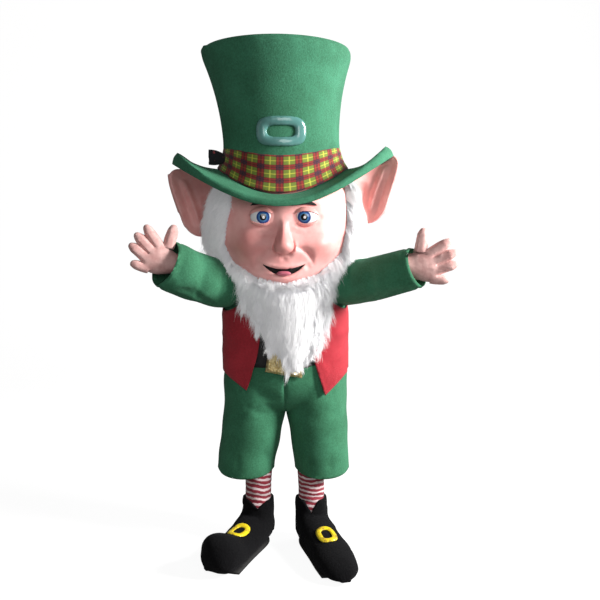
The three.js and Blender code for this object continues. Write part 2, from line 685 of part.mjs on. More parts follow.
function addBelt() {
  const rows = (grow) => [beltRow(BELT.bottom, grow), beltRow(BELT.top, grow)];
  const outer = bodySolid(rows(BELT.thickness), {});
  add("belt", outer.subtract(bodySolid(rows(0), { endReach: 1 })), COLOUR.belt, 0.6);

  const [lastRow, lastColumn] = [BUCKLE_UP.length - 1, BUCKLE_ACROSS.length - 1];
  const layer = (out) => BUCKLE_UP.map((up, r) => BUCKLE_ACROSS.map((share, c) => {
    const inward = Math.min(r, c, lastRow - r, lastColumn - c);
    const u = share * BELT_BUCKLE.width;
    const w = up * BELT_BUCKLE.tall;
    const x = BELT_BUCKLE.centre + u * Math.cos(BELT_BUCKLE.turn) - w * Math.sin(BELT_BUCKLE.turn);
    const z = BELT_BUCKLE.height + u * Math.sin(BELT_BUCKLE.turn) + w * Math.cos(BELT_BUCKLE.turn);
    const thickness = [BELT_BUCKLE.field / 2, BELT_BUCKLE.border][inward] ?? BELT_BUCKLE.field;
    return new THREE.Vector3(x, beltFront(x, BUCKLE_SEAT + out * thickness), z);
  }));
  add("belt_buckle", plate(layer(1), layer(0)), COLOUR.gold, 0.4, 0.6);
}

/** The head's front surface at a place across it and a height. */
function headFront(x, height, grow = 0) {
  const halfWidth = lookUp(HEAD, "height", height, "halfWidth") + grow;
  const halfDepth = lookUp(HEAD, "height", height, "halfDepth") + grow;
  return lookUp(HEAD, "height", height, "centre") - halfDepth * Math.sqrt(1 - (x / halfWidth) ** 2);
}

const headTable = (grow) => HEAD.map((row) => ({
  ...row, halfWidth: row.halfWidth + grow, halfDepth: row.halfDepth + grow,
}));
/** The whole head as one solid, capped a little beyond its first and last sections. */
function headSolid(grow) {
  const rings = headTable(grow).map((row) => ovalRing({ ...row, columns: HEAD_COLUMNS }));
  const last = rings.length - 1;
  rings[0] = rings[0].map((p) => p.clone().setZ(p.z - grow));
  rings[last] = rings[last].map((p) => p.clone().setZ(p.z + grow));
  return solid(loft(rings));
}

function noseSolid() {
  const rings = NOSE.map((row) => {
    const face = headFront(0, row.height);
    return ovalRing({
      centre: face + NOSE_ROOT,
      halfWidth: row.halfWidth,
      halfDepth: row.reach + NOSE_ROOT,
      height: row.height,
      columns: NOSE_COLUMNS,
    });
  });
  return solid(loft(rings.reverse()));
}

function eyeRings(side, grow) {
  const centreY = headFront(EYE.out, EYE.height) + EYE.halfDepth - EYE.proud;
  const latitudes = EYE_LATITUDES.map(THREE.MathUtils.degToRad);
  return latitudes.map((latitude) => ovalRing({
    x: side * EYE.out,
    centre: centreY,
    halfWidth: (EYE.halfWidth + grow) * Math.cos(latitude),
    halfDepth: (EYE.halfDepth + grow) * Math.cos(latitude),
    height: EYE.height + (EYE.halfTall + grow) * Math.sin(latitude),
    columns: LIMB_COLUMNS,
  }));
}

const overVest = (grow) => bodySolid(vestTable(grow), { endReach: SEAM }).add(sleevesGrown(grow));

function mouthOutline() {
  const steps = 12;
  const arc = (sag, from, to) => Array.from({ length: steps }, (_, i) => {
    const share = THREE.MathUtils.lerp(from, to, i / steps);
    return { x: share * MOUTH.halfWidth, height: MOUTH.corner - sag * (1 - share * share) };
  });
  return [...arc(MOUTH.lowerSag, -1, 1), ...arc(MOUTH.upperSag, 1, -1)];
}

function addHead() {
  const cavity = headSolid(-SHELL).add(headNeck());
  let shell = headSolid(0).add(noseSolid()).subtract(cavity).subtract(overVest(SEAM));
  shell = shell.subtract(frontPrism(mouthOutline(), -FAR, HEAD[3].centre));
  for (const { name, side } of [RIGHT, LEFT]) {
    shell = shell.subtract(solid(loft(eyeRings(side, SEAM))));
    add(`eye_${name}`, loft(eyeRings(side, 0)), COLOUR.eye, 0.15);
  }
  add("head_shell", shell, COLOUR.skin, 0.55);

  for (const { name, side } of [RIGHT, LEFT]) {
    const shares = [0, 0.25, 0.5, 0.75, 1];
    const layer = (out) => [1, -1].map((edge) => shares.map((share) => {
      const x = side * THREE.MathUtils.lerp(BROW.from, BROW.to, share);
      const taper = share === 1 || share === 0 ? BROW.taper : 1;
      const height = BROW.height + BROW.arch * Math.sin(Math.PI * share) + edge * BROW.half * taper;
      return new THREE.Vector3(x, headFront(x, height, out), height);
    }));
    add(`brow_${name}`, plate(layer(BROW_SEAT + BROW.thickness), layer(BROW_SEAT)), COLOUR.black);
  }

  const layer = (depth) => LINER.heights.map((height) => LINER.places.map((x) => (
    new THREE.Vector3(x, headFront(x, height, -SHELL - depth), height))));
  add("mouth_liner", plate(layer(LINER.gap), layer(LINER.gap + CLOTH)), COLOUR.black);
  const tongueY = headFront(0, TONGUE.height, -SHELL - LINER.gap) - SEAM - TONGUE.halfDepth;
  const tongue = EYE_LATITUDES.map(THREE.MathUtils.degToRad).map((latitude) => ovalRing({
    centre: tongueY,
    halfWidth: TONGUE.halfWidth * Math.cos(latitude),
    halfDepth: TONGUE.halfDepth * Math.cos(latitude),
    height: TONGUE.height + TONGUE.halfTall * Math.sin(latitude),
    columns: LIMB_COLUMNS,
  }));
  add("tongue", solid(loft(tongue)).subtract(headSolid(SEAM).subtract(headSolid(-SHELL - SEAM))
    .subtract(frontPrism(mouthOutline(), -FAR, 0))), COLOUR.tongue, 0.4);
}

/** The way up through the bottom of the head for the wearer's neck and shoulders. */
function headNeck() {
  const ring = (height) => ovalRing({ ...NECK, height, columns: HEAD_COLUMNS });
  return solid(loft([ring(NECK.bottom), ring(NECK.top)]));
}

function earSolid({ name, side }) {
  const rings = EAR.map((row) => EAR_SECTION.map((mark) => new THREE.Vector3(
    side * (THREE.MathUtils.lerp(row.from, row.to, mark.across) + EAR_OUT_OFFSET[name]),
    EAR_CENTRE + mark.back + mark.bowl * row.bowl,
    row.height + EAR_HEIGHT_OFFSET[name],
  )));
  return solid(loft(rings));
}

function addEars(hatBrim) {
  const head = headSolid(SEAM);
  for (const place of [RIGHT, LEFT]) {
    add(`ear_${place.name}`, largest(earSolid(place).subtract(head).subtract(hatBrim)), COLOUR.skin, 0.55);
  }
}

const furSag = (height) => FUR_SAG.share * Math.max(0, height - FUR_SAG.from);

function beardSolid() {
  const rings = BEARD.map((row) => {
    const centre = -row.back;
    const middle = (row.left - row.right) / 2;
    return ovalRing({
      x: middle,
      centre,
      halfWidth: (row.left + row.right) / 2,
      halfDepth: row.front - row.back,
      height: row.height,
      columns: BEARD_COLUMNS,
      sag: furSag(row.height),
    }).map((point) => (point.y > centre ? point.setY(centre) : point));
  });
  return solid(loft(rings));
}

function lockSolid(lock) {
  const back = lookUp(BEARD, "height", lock.height, "back");
  const front = lookUp(BEARD, "height", lock.height, "front");
  const ring = (share, radius) => ovalRing({
    x: THREE.MathUtils.lerp(lock.x, lock.tipX, share),
    centre: -THREE.MathUtils.lerp(back, front, LOCK_DEPTH_SHARE),
    halfWidth: radius,
    halfDepth: radius,
    height: THREE.MathUtils.lerp(lock.height, lock.tipHeight, share),
    columns: 4,
  });
  return solid(loft([ring(1, 2), ring(0, lock.radius)]));
}

function addFur(hatBrim) {
  const head = headSolid(SEAM);
  const body = overVest(FUR_SEAT);
  const face = frontPrism([...FACE_EDGE].reverse(), -FAR, 0);
  const locks = LOCKS.map(lockSolid).reduce((joined, lock) => joined.add(lock), beardSolid());
  const buckleRoom = boxBetween(
    {
      x: BUCKLE_ROOM.from,
      y: beltFront(0, BELT_BUCKLE.border + BUCKLE_ROOM.gap),
      z: BELT_BUCKLE.height - BUCKLE_ROOM.below,
    },
    { x: BUCKLE_ROOM.to, y: 0, z: BELT.top + BUCKLE_ROOM.above },
  );
  const beard = locks.subtract(head).subtract(body).subtract(face).subtract(buckleRoom).subtract(hatBrim);
  add("beard", largest(beard), COLOUR.fur);

  const behindRings = HAIR.map((row) => ovalRing({
    centre: HAIR_FRONT,
    halfWidth: row.halfWidth,
    halfDepth: row.back,
    height: row.height,
    columns: BEARD_COLUMNS,
    sag: furSag(row.height),
  }));
  const earRoom = boxBetween(
    { x: -FAR, y: -FAR, z: EAR_ROOM.bottom },
    { x: FAR, y: EAR_ROOM.back, z: 2 * FAR },
  );
  const inFront = boxBetween({ x: -FAR, y: -FAR, z: 0 }, { x: FAR, y: HAIR_FRONT + SEAM, z: 2 * FAR });
  const hair = solid(loft(behindRings)).subtract(head).subtract(body).subtract(earRoom);
  add("hair_back", largest(hair.subtract(inFront).subtract(hatBrim)), COLOUR.fur);
}

/** Height of a line round the hat that sags in front and behind. */
function hatLine(line, angle) {
  return line.front + (line.side - line.front) * Math.cos(angle) ** 2;
}

/** A point on the crown: angle from +X, share of the way up, and distance off its surface. */
function crownPoint(angle, share, off = 0) {
  const foot = hatLine(HAT_FOOT, angle);
  const band = hatLine(BAND_TOP, angle);
  const height = share <= BAND_SHARE
    ? THREE.MathUtils.lerp(foot, band, share / BAND_SHARE)
    : THREE.MathUtils.lerp(band, HAT_TOP, (share - BAND_SHARE) / (1 - BAND_SHARE));
  const radius = lookUp(CROWN, "share", share, "radius") + off;
  const lean = THREE.MathUtils.lerp(HAT_LEAN.foot, HAT_LEAN.top, share);
  return new THREE.Vector3(
    lean + radius * Math.cos(angle),
    HAT_CENTRE_Y + radius * HAT_DEPTH_SHARE * Math.sin(angle),
    height,
  );
}

const aroundHat = (count) => Array.from({ length: count }, (_, i) => (2 * Math.PI * i) / count);
const crownRing = (share, off) => aroundHat(HAT_COLUMNS).map((angle) => crownPoint(angle, share, off));

/** The point of the crown's front at a place across it and a height, off its surface. */
function crownFront(x, height, off) {
  const band = BAND_TOP.front;
  const share = BAND_SHARE + ((1 - BAND_SHARE) * (height - band)) / (HAT_TOP - band);
  const lean = THREE.MathUtils.lerp(HAT_LEAN.foot, HAT_LEAN.top, share);
  const radius = lookUp(CROWN, "share", share, "radius");
  const angle = -Math.acos(THREE.MathUtils.clamp((x - lean) / radius, -1, 1));
  return crownPoint(angle, share, off).setZ(height);
}

function brimSolid(grow) {
  const loops = aroundHat(HAT_COLUMNS).map((angle) => {
    const [c, s] = [Math.cos(angle), Math.sin(angle)];
    const radius = CROWN[0].radius;
    const foot = hatLine(HAT_FOOT, angle) - SEAT_GAP;
    const inside = radius - FELT - BRIM_SEAT.inside - grow;
    const seat = radius + BRIM_SEAT.outside;
    const sideReach = (c < 0 ? BRIM_REACH.right : BRIM_REACH.left) - radius;
    const endReach = s < 0 ? BRIM_REACH.front : BRIM_REACH.back;
    const reach = radius + sideReach * c * c + endReach * s * s + grow;
    const sideEdge = c < 0 ? BRIM_EDGE.right : BRIM_EDGE.left;
    const endEdge = s < 0 ? BRIM_EDGE.front : BRIM_EDGE.back;
    const edge = THREE.MathUtils.lerp(endEdge, sideEdge, Math.abs(c) ** BRIM_CURL);
    const place = (r, height) => new THREE.Vector3(
      HAT_LEAN.foot + r * c, HAT_CENTRE_Y + r * HAT_DEPTH_SHARE * s, height);
    const at = (mark, face) => {
      const out = THREE.MathUtils.lerp(seat, reach, mark.across);
      const curl = mark.across ** (1 + c * c);
      const slope = (c * c * (edge - foot) * (1 + c * c) * mark.across ** (c * c)) / (reach - seat);
      const tilt = Math.hypot(1, slope);
      const swell = 1 + BRIM_SWELL * mark.across * c ** 4;
      const thick = mark[face] * swell + (face === "upper" ? grow : -grow);
      return place(out - (thick * slope) / tilt, THREE.MathUtils.lerp(foot, edge, curl) + thick / tilt);
    };
    return [
      place(inside, foot + grow),
      ...BRIM_SECTION.map((mark) => at(mark, "upper")),
      at({ across: 1, upper: 0 }, "upper"),
      ...[...BRIM_SECTION].reverse().map((mark) => at(mark, "lower")),
      place(inside, foot - BRIM_FOOT - grow),
    ];
  });
  return solid(torus(loops)).subtract(headSolid(SEAM));
}

/** A wall round the hat between two distances off the crown. */
function hatTube(shares, outside, inside) {
  const down = [...shares].reverse();
  return torus(aroundHat(HAT_COLUMNS).map((angle) => [
    ...shares.map((share) => crownPoint(angle, share, outside)),
    ...down.map((share) => crownPoint(angle, share, inside)),
  ]));
}

function addHat(brim) {
  add("hat_crown", hatTube(CROWN.map((row) => row.share), 0, -FELT), COLOUR.felt);
  add("hat_brim", brim, COLOUR.felt);

  const disc = (radiusShare, lift) => aroundHat(HAT_COLUMNS).map((angle) => {
    const rim = crownPoint(angle, 1, -FELT - SEAM);
    const middle = new THREE.Vector3(HAT_LEAN.top, HAT_CENTRE_Y, HAT_TOP);
    return middle.lerp(rim, radiusShare).setZ(HAT_TOP + lift);
  });
  add("hat_top", loft(TIP.map(([share, lift]) => disc(share, lift))), COLOUR.felt);

  const inBand = CROWN.map((row) => row.share).filter((share) => share > 0 && share < BAND_SHARE);
  const shares = [BAND_EDGE, ...inBand, BAND_SHARE - BAND_EDGE];
  add("hat_band", hatTube(shares, BAND_GAP + BAND_THICKNESS, BAND_GAP), COLOUR.tartan);

  const frame = Array.from({ length: HAT_BUCKLE_POINTS }, (_, i) => (2 * Math.PI * i) / HAT_BUCKLE_POINTS);
  const corner = (value) => Math.sign(value) * Math.abs(value) ** (2 / HAT_BUCKLE.corner);
  const loop = (inset, off) => frame.map((angle) => {
    const x = HAT_BUCKLE.x + (HAT_BUCKLE.width / 2 - inset) * corner(Math.cos(angle));
    const height = HAT_BUCKLE.height + (HAT_BUCKLE.tall / 2 - inset * HAT_BUCKLE.upright) * corner(Math.sin(angle));
    return crownFront(x, height, off);
  });
  const { seat, rim, bevel, thickness, lip } = HAT_BUCKLE;
  const shoulder = thickness - bevel + lip;
  add("hat_buckle", torus([
    loop(0, seat), loop(0, shoulder), loop(bevel, thickness),
    loop(rim - bevel, thickness), loop(rim, shoulder), loop(rim, seat),
  ]), COLOUR.silver, 0.2, 0.6);
}

/** The loose end of the band, tied at the wearer's right. */
function addBow() {
  const stations = [
    { share: 0, tall: 0.5, thick: 0.6 }, { share: 0.3, tall: 0.8, thick: 1 },
    { share: 0.75, tall: 1, thick: 0.9 }, { share: 1, tall: 0.9, thick: 0.4 },
  ];
  const angle = Math.PI + BOW.clock;
  const root = crownPoint(angle, BOW.share, BAND_GAP + BAND_THICKNESS);
  const outward = new THREE.Vector3(Math.cos(angle), Math.sin(angle), BOW.rise).normalize();
  const rings = stations.map((station) => {
    const centre = root.clone().addScaledVector(outward, station.share * BOW.length);
    const [tall, thick] = [(BOW.tall / 2) * station.tall, (BOW.thickness / 2) * station.thick];
    const sideways = new THREE.Vector3(-outward.y, outward.x, 0).normalize();
    return Array.from({ length: 8 }, (_, i) => {
      const clock = (2 * Math.PI * i) / 8;
      return centre.clone()
        .addScaledVector(sideways, thick * Math.cos(clock))
        .add(new THREE.Vector3(0, 0, tall * Math.sin(clock)));
    });
  });
  const off = BAND_GAP + BAND_THICKNESS + SEAM;
  const band = solid(loft(CROWN.slice(0, 4).map((row) => crownRing(row.share, off))));
  add("band_bow", solid(loft(rings)).subtract(band), COLOUR.tartan);
}

function addStockings() {
  const legs = [{ ...RIGHT, leg: RIGHT_LEG }, { ...LEFT, leg: LEFT_LEG }];
  for (const { name, side, leg } of legs) {
    const out = STOCKING_OUT[name];
    const knee = (column) => lookUp(leg, "height", STOCKING.top, column);
    const inseam = knee("out") - knee("halfWidth");
    const kneeOut = inseam + CLOTH + STOCKING_SEAT + STOCKING.kneeHalfWidth;
    const rows = [
      { height: STOCKING.bottom, out, halfWidth: STOCKING.halfWidth },
      ...ANKLE_ROWS.map(({ height, wider, inward }) => (
        { height, out: out - inward, halfWidth: STOCKING.halfWidth + wider })),
      { height: STOCKING.top, out: kneeOut, halfWidth: STOCKING.kneeHalfWidth },
    ];
    const tube = (grow, reach) => solid(loft(rows.map((row, i) => ovalRing({
      x: side * row.out,
      centre: i === rows.length - 1 ? 0 : STOCKING.y,
      halfWidth: row.halfWidth + grow,
      halfDepth: row.halfWidth + grow,
      height: row.height + (i === 0 ? -reach : 0) + (i === rows.length - 1 ? reach : 0),
      columns: LIMB_COLUMNS,
    }))));
    add(`stocking_${name}`, tube(0, 0).subtract(tube(-STOCKING.wall, 1)), COLOUR.stocking);
  }
}

/** A shoe's own frame: forward along the foot and sideways outward, from the heel. */
function shoeFrame(shoe, side) {
  const forward = new THREE.Vector3(side * Math.sin(shoe.turn), -Math.cos(shoe.turn), 0);
  const outward = new THREE.Vector3(side * Math.cos(shoe.turn), Math.sin(shoe.turn), 0);
  const heel = new THREE.Vector3(side * shoe.out, shoe.heel, 0);
  return { forward, outward, heel };
}

function footRings(shoe, side, grow) {
  const { forward, outward, heel } = shoeFrame(shoe, side);
  const last = shoe.sections.length - 1;
  return shoe.sections.map((row, i) => {
    const reach = i === 0 ? -grow : i === last ? grow : 0;
    const middle = (row.top + row.bottom + SEAM) / 2;
    const half = (row.top - row.bottom - SEAM) / 2 + grow;
    return Array.from({ length: SHOE_COLUMNS }, (_, column) => {
      const angle = (2 * Math.PI * column) / SHOE_COLUMNS;
      const [c, s] = [Math.cos(angle), Math.sin(angle)];
      const round = s < 0 ? 2 / 3.2 : 1;
      return heel.clone()
        .addScaledVector(forward, row.along + reach)
        .addScaledVector(outward, (row.halfWidth + grow) * Math.sign(c) * Math.abs(c) ** round)
        .setZ(middle + half * Math.sign(s) * Math.abs(s) ** round);
    });
  });
}

/** The top of the foot at a place along and across it, off its surface. */
function footTop(shoe, side, along, across, off) {
  const { forward, outward, heel } = shoeFrame(shoe, side);
  const bottom = lookUp(shoe.sections, "along", along, "bottom") + SEAM;
  const top = lookUp(shoe.sections, "along", along, "top");
  const halfWidth = lookUp(shoe.sections, "along", along, "halfWidth");
  const height = (top + bottom) / 2 + ((top - bottom) / 2) * Math.sqrt(1 - (across / halfWidth) ** 2);
  return heel.clone()
    .addScaledVector(forward, along)
    .addScaledVector(outward, across)
    .setZ(height + off);
}

function addShoes() {
  for (const { name, side, shoe } of [{ ...RIGHT, shoe: RIGHT_SHOE }, { ...LEFT, shoe: LEFT_SHOE }]) {
    const legOut = STOCKING_OUT[name];
    const collarRing = (height, pull) => ovalRing({
      x: side * legOut,
      centre: SHOE_LEG.y,
      halfWidth: SHOE_LEG.halfWidth - pull,
      halfDepth: SHOE_LEG.halfDepth - pull,
      height,
      columns: LIMB_COLUMNS,
    });
    const { foot, waist, pull, top } = SHOE_LEG;
    const collar = solid(loft([collarRing(foot, 0), collarRing(waist, pull), collarRing(top, 0)]));
    const throat = solid(loft([THROAT.from, THROAT.to].map((height) => ovalRing({
      x: side * legOut,
      centre: STOCKING.y,
      halfWidth: STOCKING.halfWidth + THROAT.gap,
      halfDepth: STOCKING.halfWidth + THROAT.gap,
      height,
      columns: LIMB_COLUMNS,
    }))));
    const outer = solid(loft(footRings(shoe, side, 0))).add(collar);
    const inner = solid(loft(footRings(shoe, side, -FLEECE))).add(throat);
    const notch = frontPrism([
      { x: side * legOut - NOTCH.half, height: top + NOTCH.above },
      { x: side * legOut, height: shoe.dip },
      { x: side * legOut + NOTCH.half, height: top + NOTCH.above },
    ], -FAR, SHOE_LEG.y - NOTCH.depth);
    add(`shoe_upper_${name}`, outer.subtract(inner).subtract(notch), COLOUR.black);

    const flat = shoe.sections.filter((row) => row.bottom === SOLE);
    const tread = flat.map((row) => ({ along: row.along, half: row.halfWidth * SOLE_SHARE }));
    const toe = tread[tread.length - 1];
    tread.push({ along: toe.along + SOLE_TOE.reach, half: toe.half * SOLE_TOE.share });
    tread.unshift({ along: tread[0].along - SOLE_HEEL.reach, half: tread[0].half * SOLE_HEEL.share });
    const { forward, outward, heel } = shoeFrame(shoe, side);
    const edge = (sign) => tread.map((row) => heel.clone()
      .addScaledVector(forward, row.along)
      .addScaledVector(outward, sign * row.half));
    const outline = [...edge(1), ...edge(-1).reverse()];
    const ring = (height) => outline.map((point) => point.clone().setZ(height));
    add(`shoe_sole_${name}`, loft([ring(0), ring(SOLE)]), COLOUR.black, 0.8);

    const { half, across, shift, rim, thickness, seat, bevel, lip } = SHOE_BUCKLE;
    const shoulder = thickness - bevel + lip;
    const frame = Array.from(
      { length: SHOE_BUCKLE_POINTS }, (_, i) => (2 * Math.PI * i) / SHOE_BUCKLE_POINTS);
    const square = (value) => Math.sign(value) * Math.abs(value) ** SHOE_BUCKLE.square;
    const loop = (inset, off) => frame.map((angle) => footTop(
      shoe, side,
      shoe.buckle + (half - inset) * square(Math.cos(angle)),
      (across - inset) * square(Math.sin(angle)) - shift,
      off,
    ));
    add(`shoe_buckle_${name}`, torus([
      loop(0, seat), loop(0, shoulder), loop(bevel, thickness),
      loop(rim - bevel, thickness), loop(rim, shoulder), loop(rim, seat),
    ]), COLOUR.yellow, 0.35, 0.3);
  }
}

/** The hand's frame at the cuff: along the fingers, across towards the thumb, and out of the palm. */
function handFrame(arm, { name, side }) {
  const last = arm[arm.length - 1];
  const before = arm[arm.length - 2];
  const origin = new THREE.Vector3(side * last.out, -last.front, last.height);
  const rise = (last.height - before.height) * HAND_LEAN.rise;
  const along = new THREE.Vector3(side * (last.out - before.out), -HAND_LEAN.forward, rise).normalize();
  const across = new THREE.Vector3(0, 0, 1).addScaledVector(along, -along.z).normalize();
  const palm = along.clone().cross(across);
  const turn = (vector) => vector.applyAxisAngle(palm, HAND_TURN[name]);
  return { origin, along: turn(along), across: turn(across), palm, cuff: last.radius };
}

function gloveSolid(frame, grow, wristReach) {
  const { origin, along, across, palm } = frame;
  const palmRings = PALM.map((row, i) => {
    const seat = i === 0 ? frame.cuff - CLOTH + WRIST_PRESS - row.halfAcross : row.across;
    const reach = i === 0 ? -wristReach : i === PALM.length - 1 ? grow : 0;
    return Array.from({ length: PALM_COLUMNS }, (_, column) => {
      const clock = (2 * Math.PI * column) / PALM_COLUMNS;
      return origin.clone()
        .addScaledVector(along, row.along + reach)
        .addScaledVector(across, seat + (row.halfAcross + grow) * Math.cos(clock))
        .addScaledVector(palm, (row.halfThick + grow) * Math.sin(clock));
    });
  });
  const digits = HAND.map((digit) => {
    const root = new THREE.Vector2(digit.along, digit.across);
    const tip = new THREE.Vector2(digit.tipAlong, digit.tipAcross);
    const way = tip.clone().sub(root).normalize();
    const sideways = new THREE.Vector2(-way.y, way.x);
    const stations = [
      { place: root, radius: digit.radius },
      { place: root.clone().lerp(tip, 0.8), radius: digit.tipRadius * 1.25 },
      { place: tip.clone().addScaledVector(way, grow), radius: digit.tipRadius * 0.6 },
    ];
    return solid(loft(stations.map(({ place, radius }) => (
      Array.from({ length: DIGIT_COLUMNS }, (_, column) => {
        const clock = (2 * Math.PI * column) / DIGIT_COLUMNS;
        const reach = Math.max(radius + grow, 2);
        return origin.clone()
          .addScaledVector(along, place.x + reach * Math.cos(clock) * sideways.x)
          .addScaledVector(across, place.y + reach * Math.cos(clock) * sideways.y)
          .addScaledVector(palm, reach * Math.sin(clock));
      })))));
  });
  return digits.reduce((joined, digit) => joined.add(digit), solid(loft(palmRings)));
}

function addGloves() {
  for (const { name, side, arm } of ARMS) {
    const frame = handFrame(arm, { name, side });
    const wall = gloveSolid(frame, 0, 0).subtract(gloveSolid(frame, -CLOTH, 1));
    const sleeve = sleeveSolid(arm, side, SEAM).subtract(sleeveSolid(arm, side, -CLOTH - SEAM, CLOTH));
    add(`glove_${name}`, wall.subtract(sleeve), COLOUR.skin, 0.75);
  }
}

const brim = brimSolid(0);
const brimGrown = brimSolid(SEAT_GAP).add(brim);
addHat(brim);
addBow();
addHead();
addEars(brimGrown);
addFur(brimGrown);
addSuitTop();
addVest();
addBelt();
addBreeches();
addStockings();
addShoes();
addGloves();

export default costume;
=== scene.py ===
"""Looks of a worn leprechaun costume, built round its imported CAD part.

Sizes are in metres. Heights in the tables are measured from the floor, as a fitter would take them,
and the costume's own origin lies between the shoulders. Left and right are the wearer's.
"""

import math
import random

import bmesh
import bpy
import numpy as np
from mathutils import Matrix, Vector
from mathutils.bvhtree import BVHTree
from mathutils.kdtree import KDTree


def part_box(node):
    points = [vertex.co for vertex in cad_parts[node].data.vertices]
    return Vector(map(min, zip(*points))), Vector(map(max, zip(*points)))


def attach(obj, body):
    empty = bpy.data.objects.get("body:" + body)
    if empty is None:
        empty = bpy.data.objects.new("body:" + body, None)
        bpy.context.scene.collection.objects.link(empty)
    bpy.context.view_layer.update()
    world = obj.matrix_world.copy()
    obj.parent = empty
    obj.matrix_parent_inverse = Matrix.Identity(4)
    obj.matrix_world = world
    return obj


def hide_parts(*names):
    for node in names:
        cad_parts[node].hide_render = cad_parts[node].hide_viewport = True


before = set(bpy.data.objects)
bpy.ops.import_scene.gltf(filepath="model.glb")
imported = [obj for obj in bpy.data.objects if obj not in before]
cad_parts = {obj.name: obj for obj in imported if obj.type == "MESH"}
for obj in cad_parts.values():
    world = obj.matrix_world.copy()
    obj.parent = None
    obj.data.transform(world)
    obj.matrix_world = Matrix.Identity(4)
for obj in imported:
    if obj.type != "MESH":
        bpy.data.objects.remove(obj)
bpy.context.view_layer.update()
SHOULDER_HEIGHT = 1.240

# Studio: a pale sweep that runs up behind the costume, a large soft key light from the right and
# above, a weak fill from the left, and a camera at chest height that looks slightly down.
CAMERA_PLACE = (0.062, -3.0, 0.121)
CAMERA_PITCH = math.radians(5.8)
FOCAL_SHARE = 714 / 600
SWEEP = {"half": 9.0, "front": -7.0, "bend": 3.4, "radius": 1.6, "top": 6.0}
LIGHTS = [
    {"name": "key", "place": (3.4, -1.2, 1.2), "aim": 0.05, "size": 1.1, "power": 330, "tint": (1, 0.98, 0.96)},
    {"name": "front", "place": (0.5, -3.9, 0.9), "aim": 0, "size": 1.6, "power": 32, "tint": (1, 1, 1)},
    {"name": "fill", "place": (-3.4, -2.6, 0.4), "aim": -0.2, "size": 2.4, "power": 7, "tint": (0.96, 0.97, 1)},
    {"name": "rim", "place": (2.8, 1.6, 0.9), "aim": 0.1, "size": 1.4, "power": 45, "tint": (1, 1, 1)},
]
SKY = 0.11
FLOOR = {"paint": 0.16, "roughness": 0.95, "glow": 0.05, "seen": 0.93, "drop": 0.001}
# The sockets of a Mix node that mixes colours.
MIX = {"share": 0, "first": 6, "second": 7, "out": 2}

bpy.context.scene.view_settings.view_transform = "Standard"
camera = bpy.data.objects.new("camera", bpy.data.cameras.new("camera"))
bpy.context.scene.collection.objects.link(camera)
camera.location = CAMERA_PLACE
camera.rotation_euler = (math.pi / 2 - CAMERA_PITCH, 0, 0)
camera.data.sensor_width = 36
camera.data.lens = 36 * FOCAL_SHARE
camera.data.clip_end = 60
bpy.context.scene.camera = camera

for light in LIGHTS:
    lamp = bpy.data.objects.new(light["name"], bpy.data.lights.new(light["name"], "AREA"))
    bpy.context.scene.collection.objects.link(lamp)
    lamp.location = light["place"]
    lamp.rotation_euler = (Vector((0, 0, light["aim"])) - lamp.location).to_track_quat("-Z", "Y").to_euler()
    lamp.data.size = light["size"]
    lamp.data.energy = light["power"]
    lamp.data.color = light["tint"]

world = bpy.data.worlds.new("studio")
world.use_nodes = True
world.node_tree.nodes["Background"].inputs["Color"].default_value = (1, 1, 1, 1)
world.node_tree.nodes["Background"].inputs["Strength"].default_value = SKY
bpy.context.scene.world = world

bpy.ops.object.select_all(action="DESELECT")
bpy.ops.mesh.primitive_grid_add(x_subdivisions=1, y_subdivisions=28, size=1, location=(0, 0, 0))
sweep = bpy.context.object
sweep.name = "studio_sweep"
for vertex in sweep.data.vertices:
    share = vertex.co.y + 0.5
    side = vertex.co.x * 2 * SWEEP["half"]
    length = SWEEP["bend"] - SWEEP["front"]
    arc = SWEEP["radius"] * math.pi / 2
    way = share * (length + arc + SWEEP["top"])
    turn = min(max((way - length) / arc, 0), 1) * math.pi / 2
    vertex.co = (
        side,
        SWEEP["front"] + min(way, length) + SWEEP["radius"] * math.sin(turn),
        -SHOULDER_HEIGHT - FLOOR["drop"] + SWEEP["radius"] * (1 - math.cos(turn)) + max(way - length - arc, 0),
    )
bpy.ops.object.shade_smooth()
pale = bpy.data.materials.new("studio_pale")
pale.use_nodes = True
surface = pale.node_tree.nodes["Principled BSDF"]
surface.inputs["Base Color"].default_value = (*[FLOOR["paint"]] * 3, 1)
surface.inputs["Roughness"].default_value = FLOOR["roughness"]
surface.inputs["Emission Strength"].default_value = 1.0
# The sweep looks bright itself, and throws little light back at the costume.
glow = pale.node_tree.nodes.new("ShaderNodeMix")
glow.data_type = "RGBA"
glow.inputs[MIX["first"]].default_value = (*[FLOOR["glow"]] * 3, 1)
glow.inputs[MIX["second"]].default_value = (*[FLOOR["seen"]] * 3, 1)
seen = pale.node_tree.nodes.new("ShaderNodeLightPath")
pale.node_tree.links.new(seen.outputs["Is Camera Ray"], glow.inputs[MIX["share"]])
pale.node_tree.links.new(glow.outputs[MIX["out"]], surface.inputs["Emission Color"])
sweep.data.materials.append(pale)


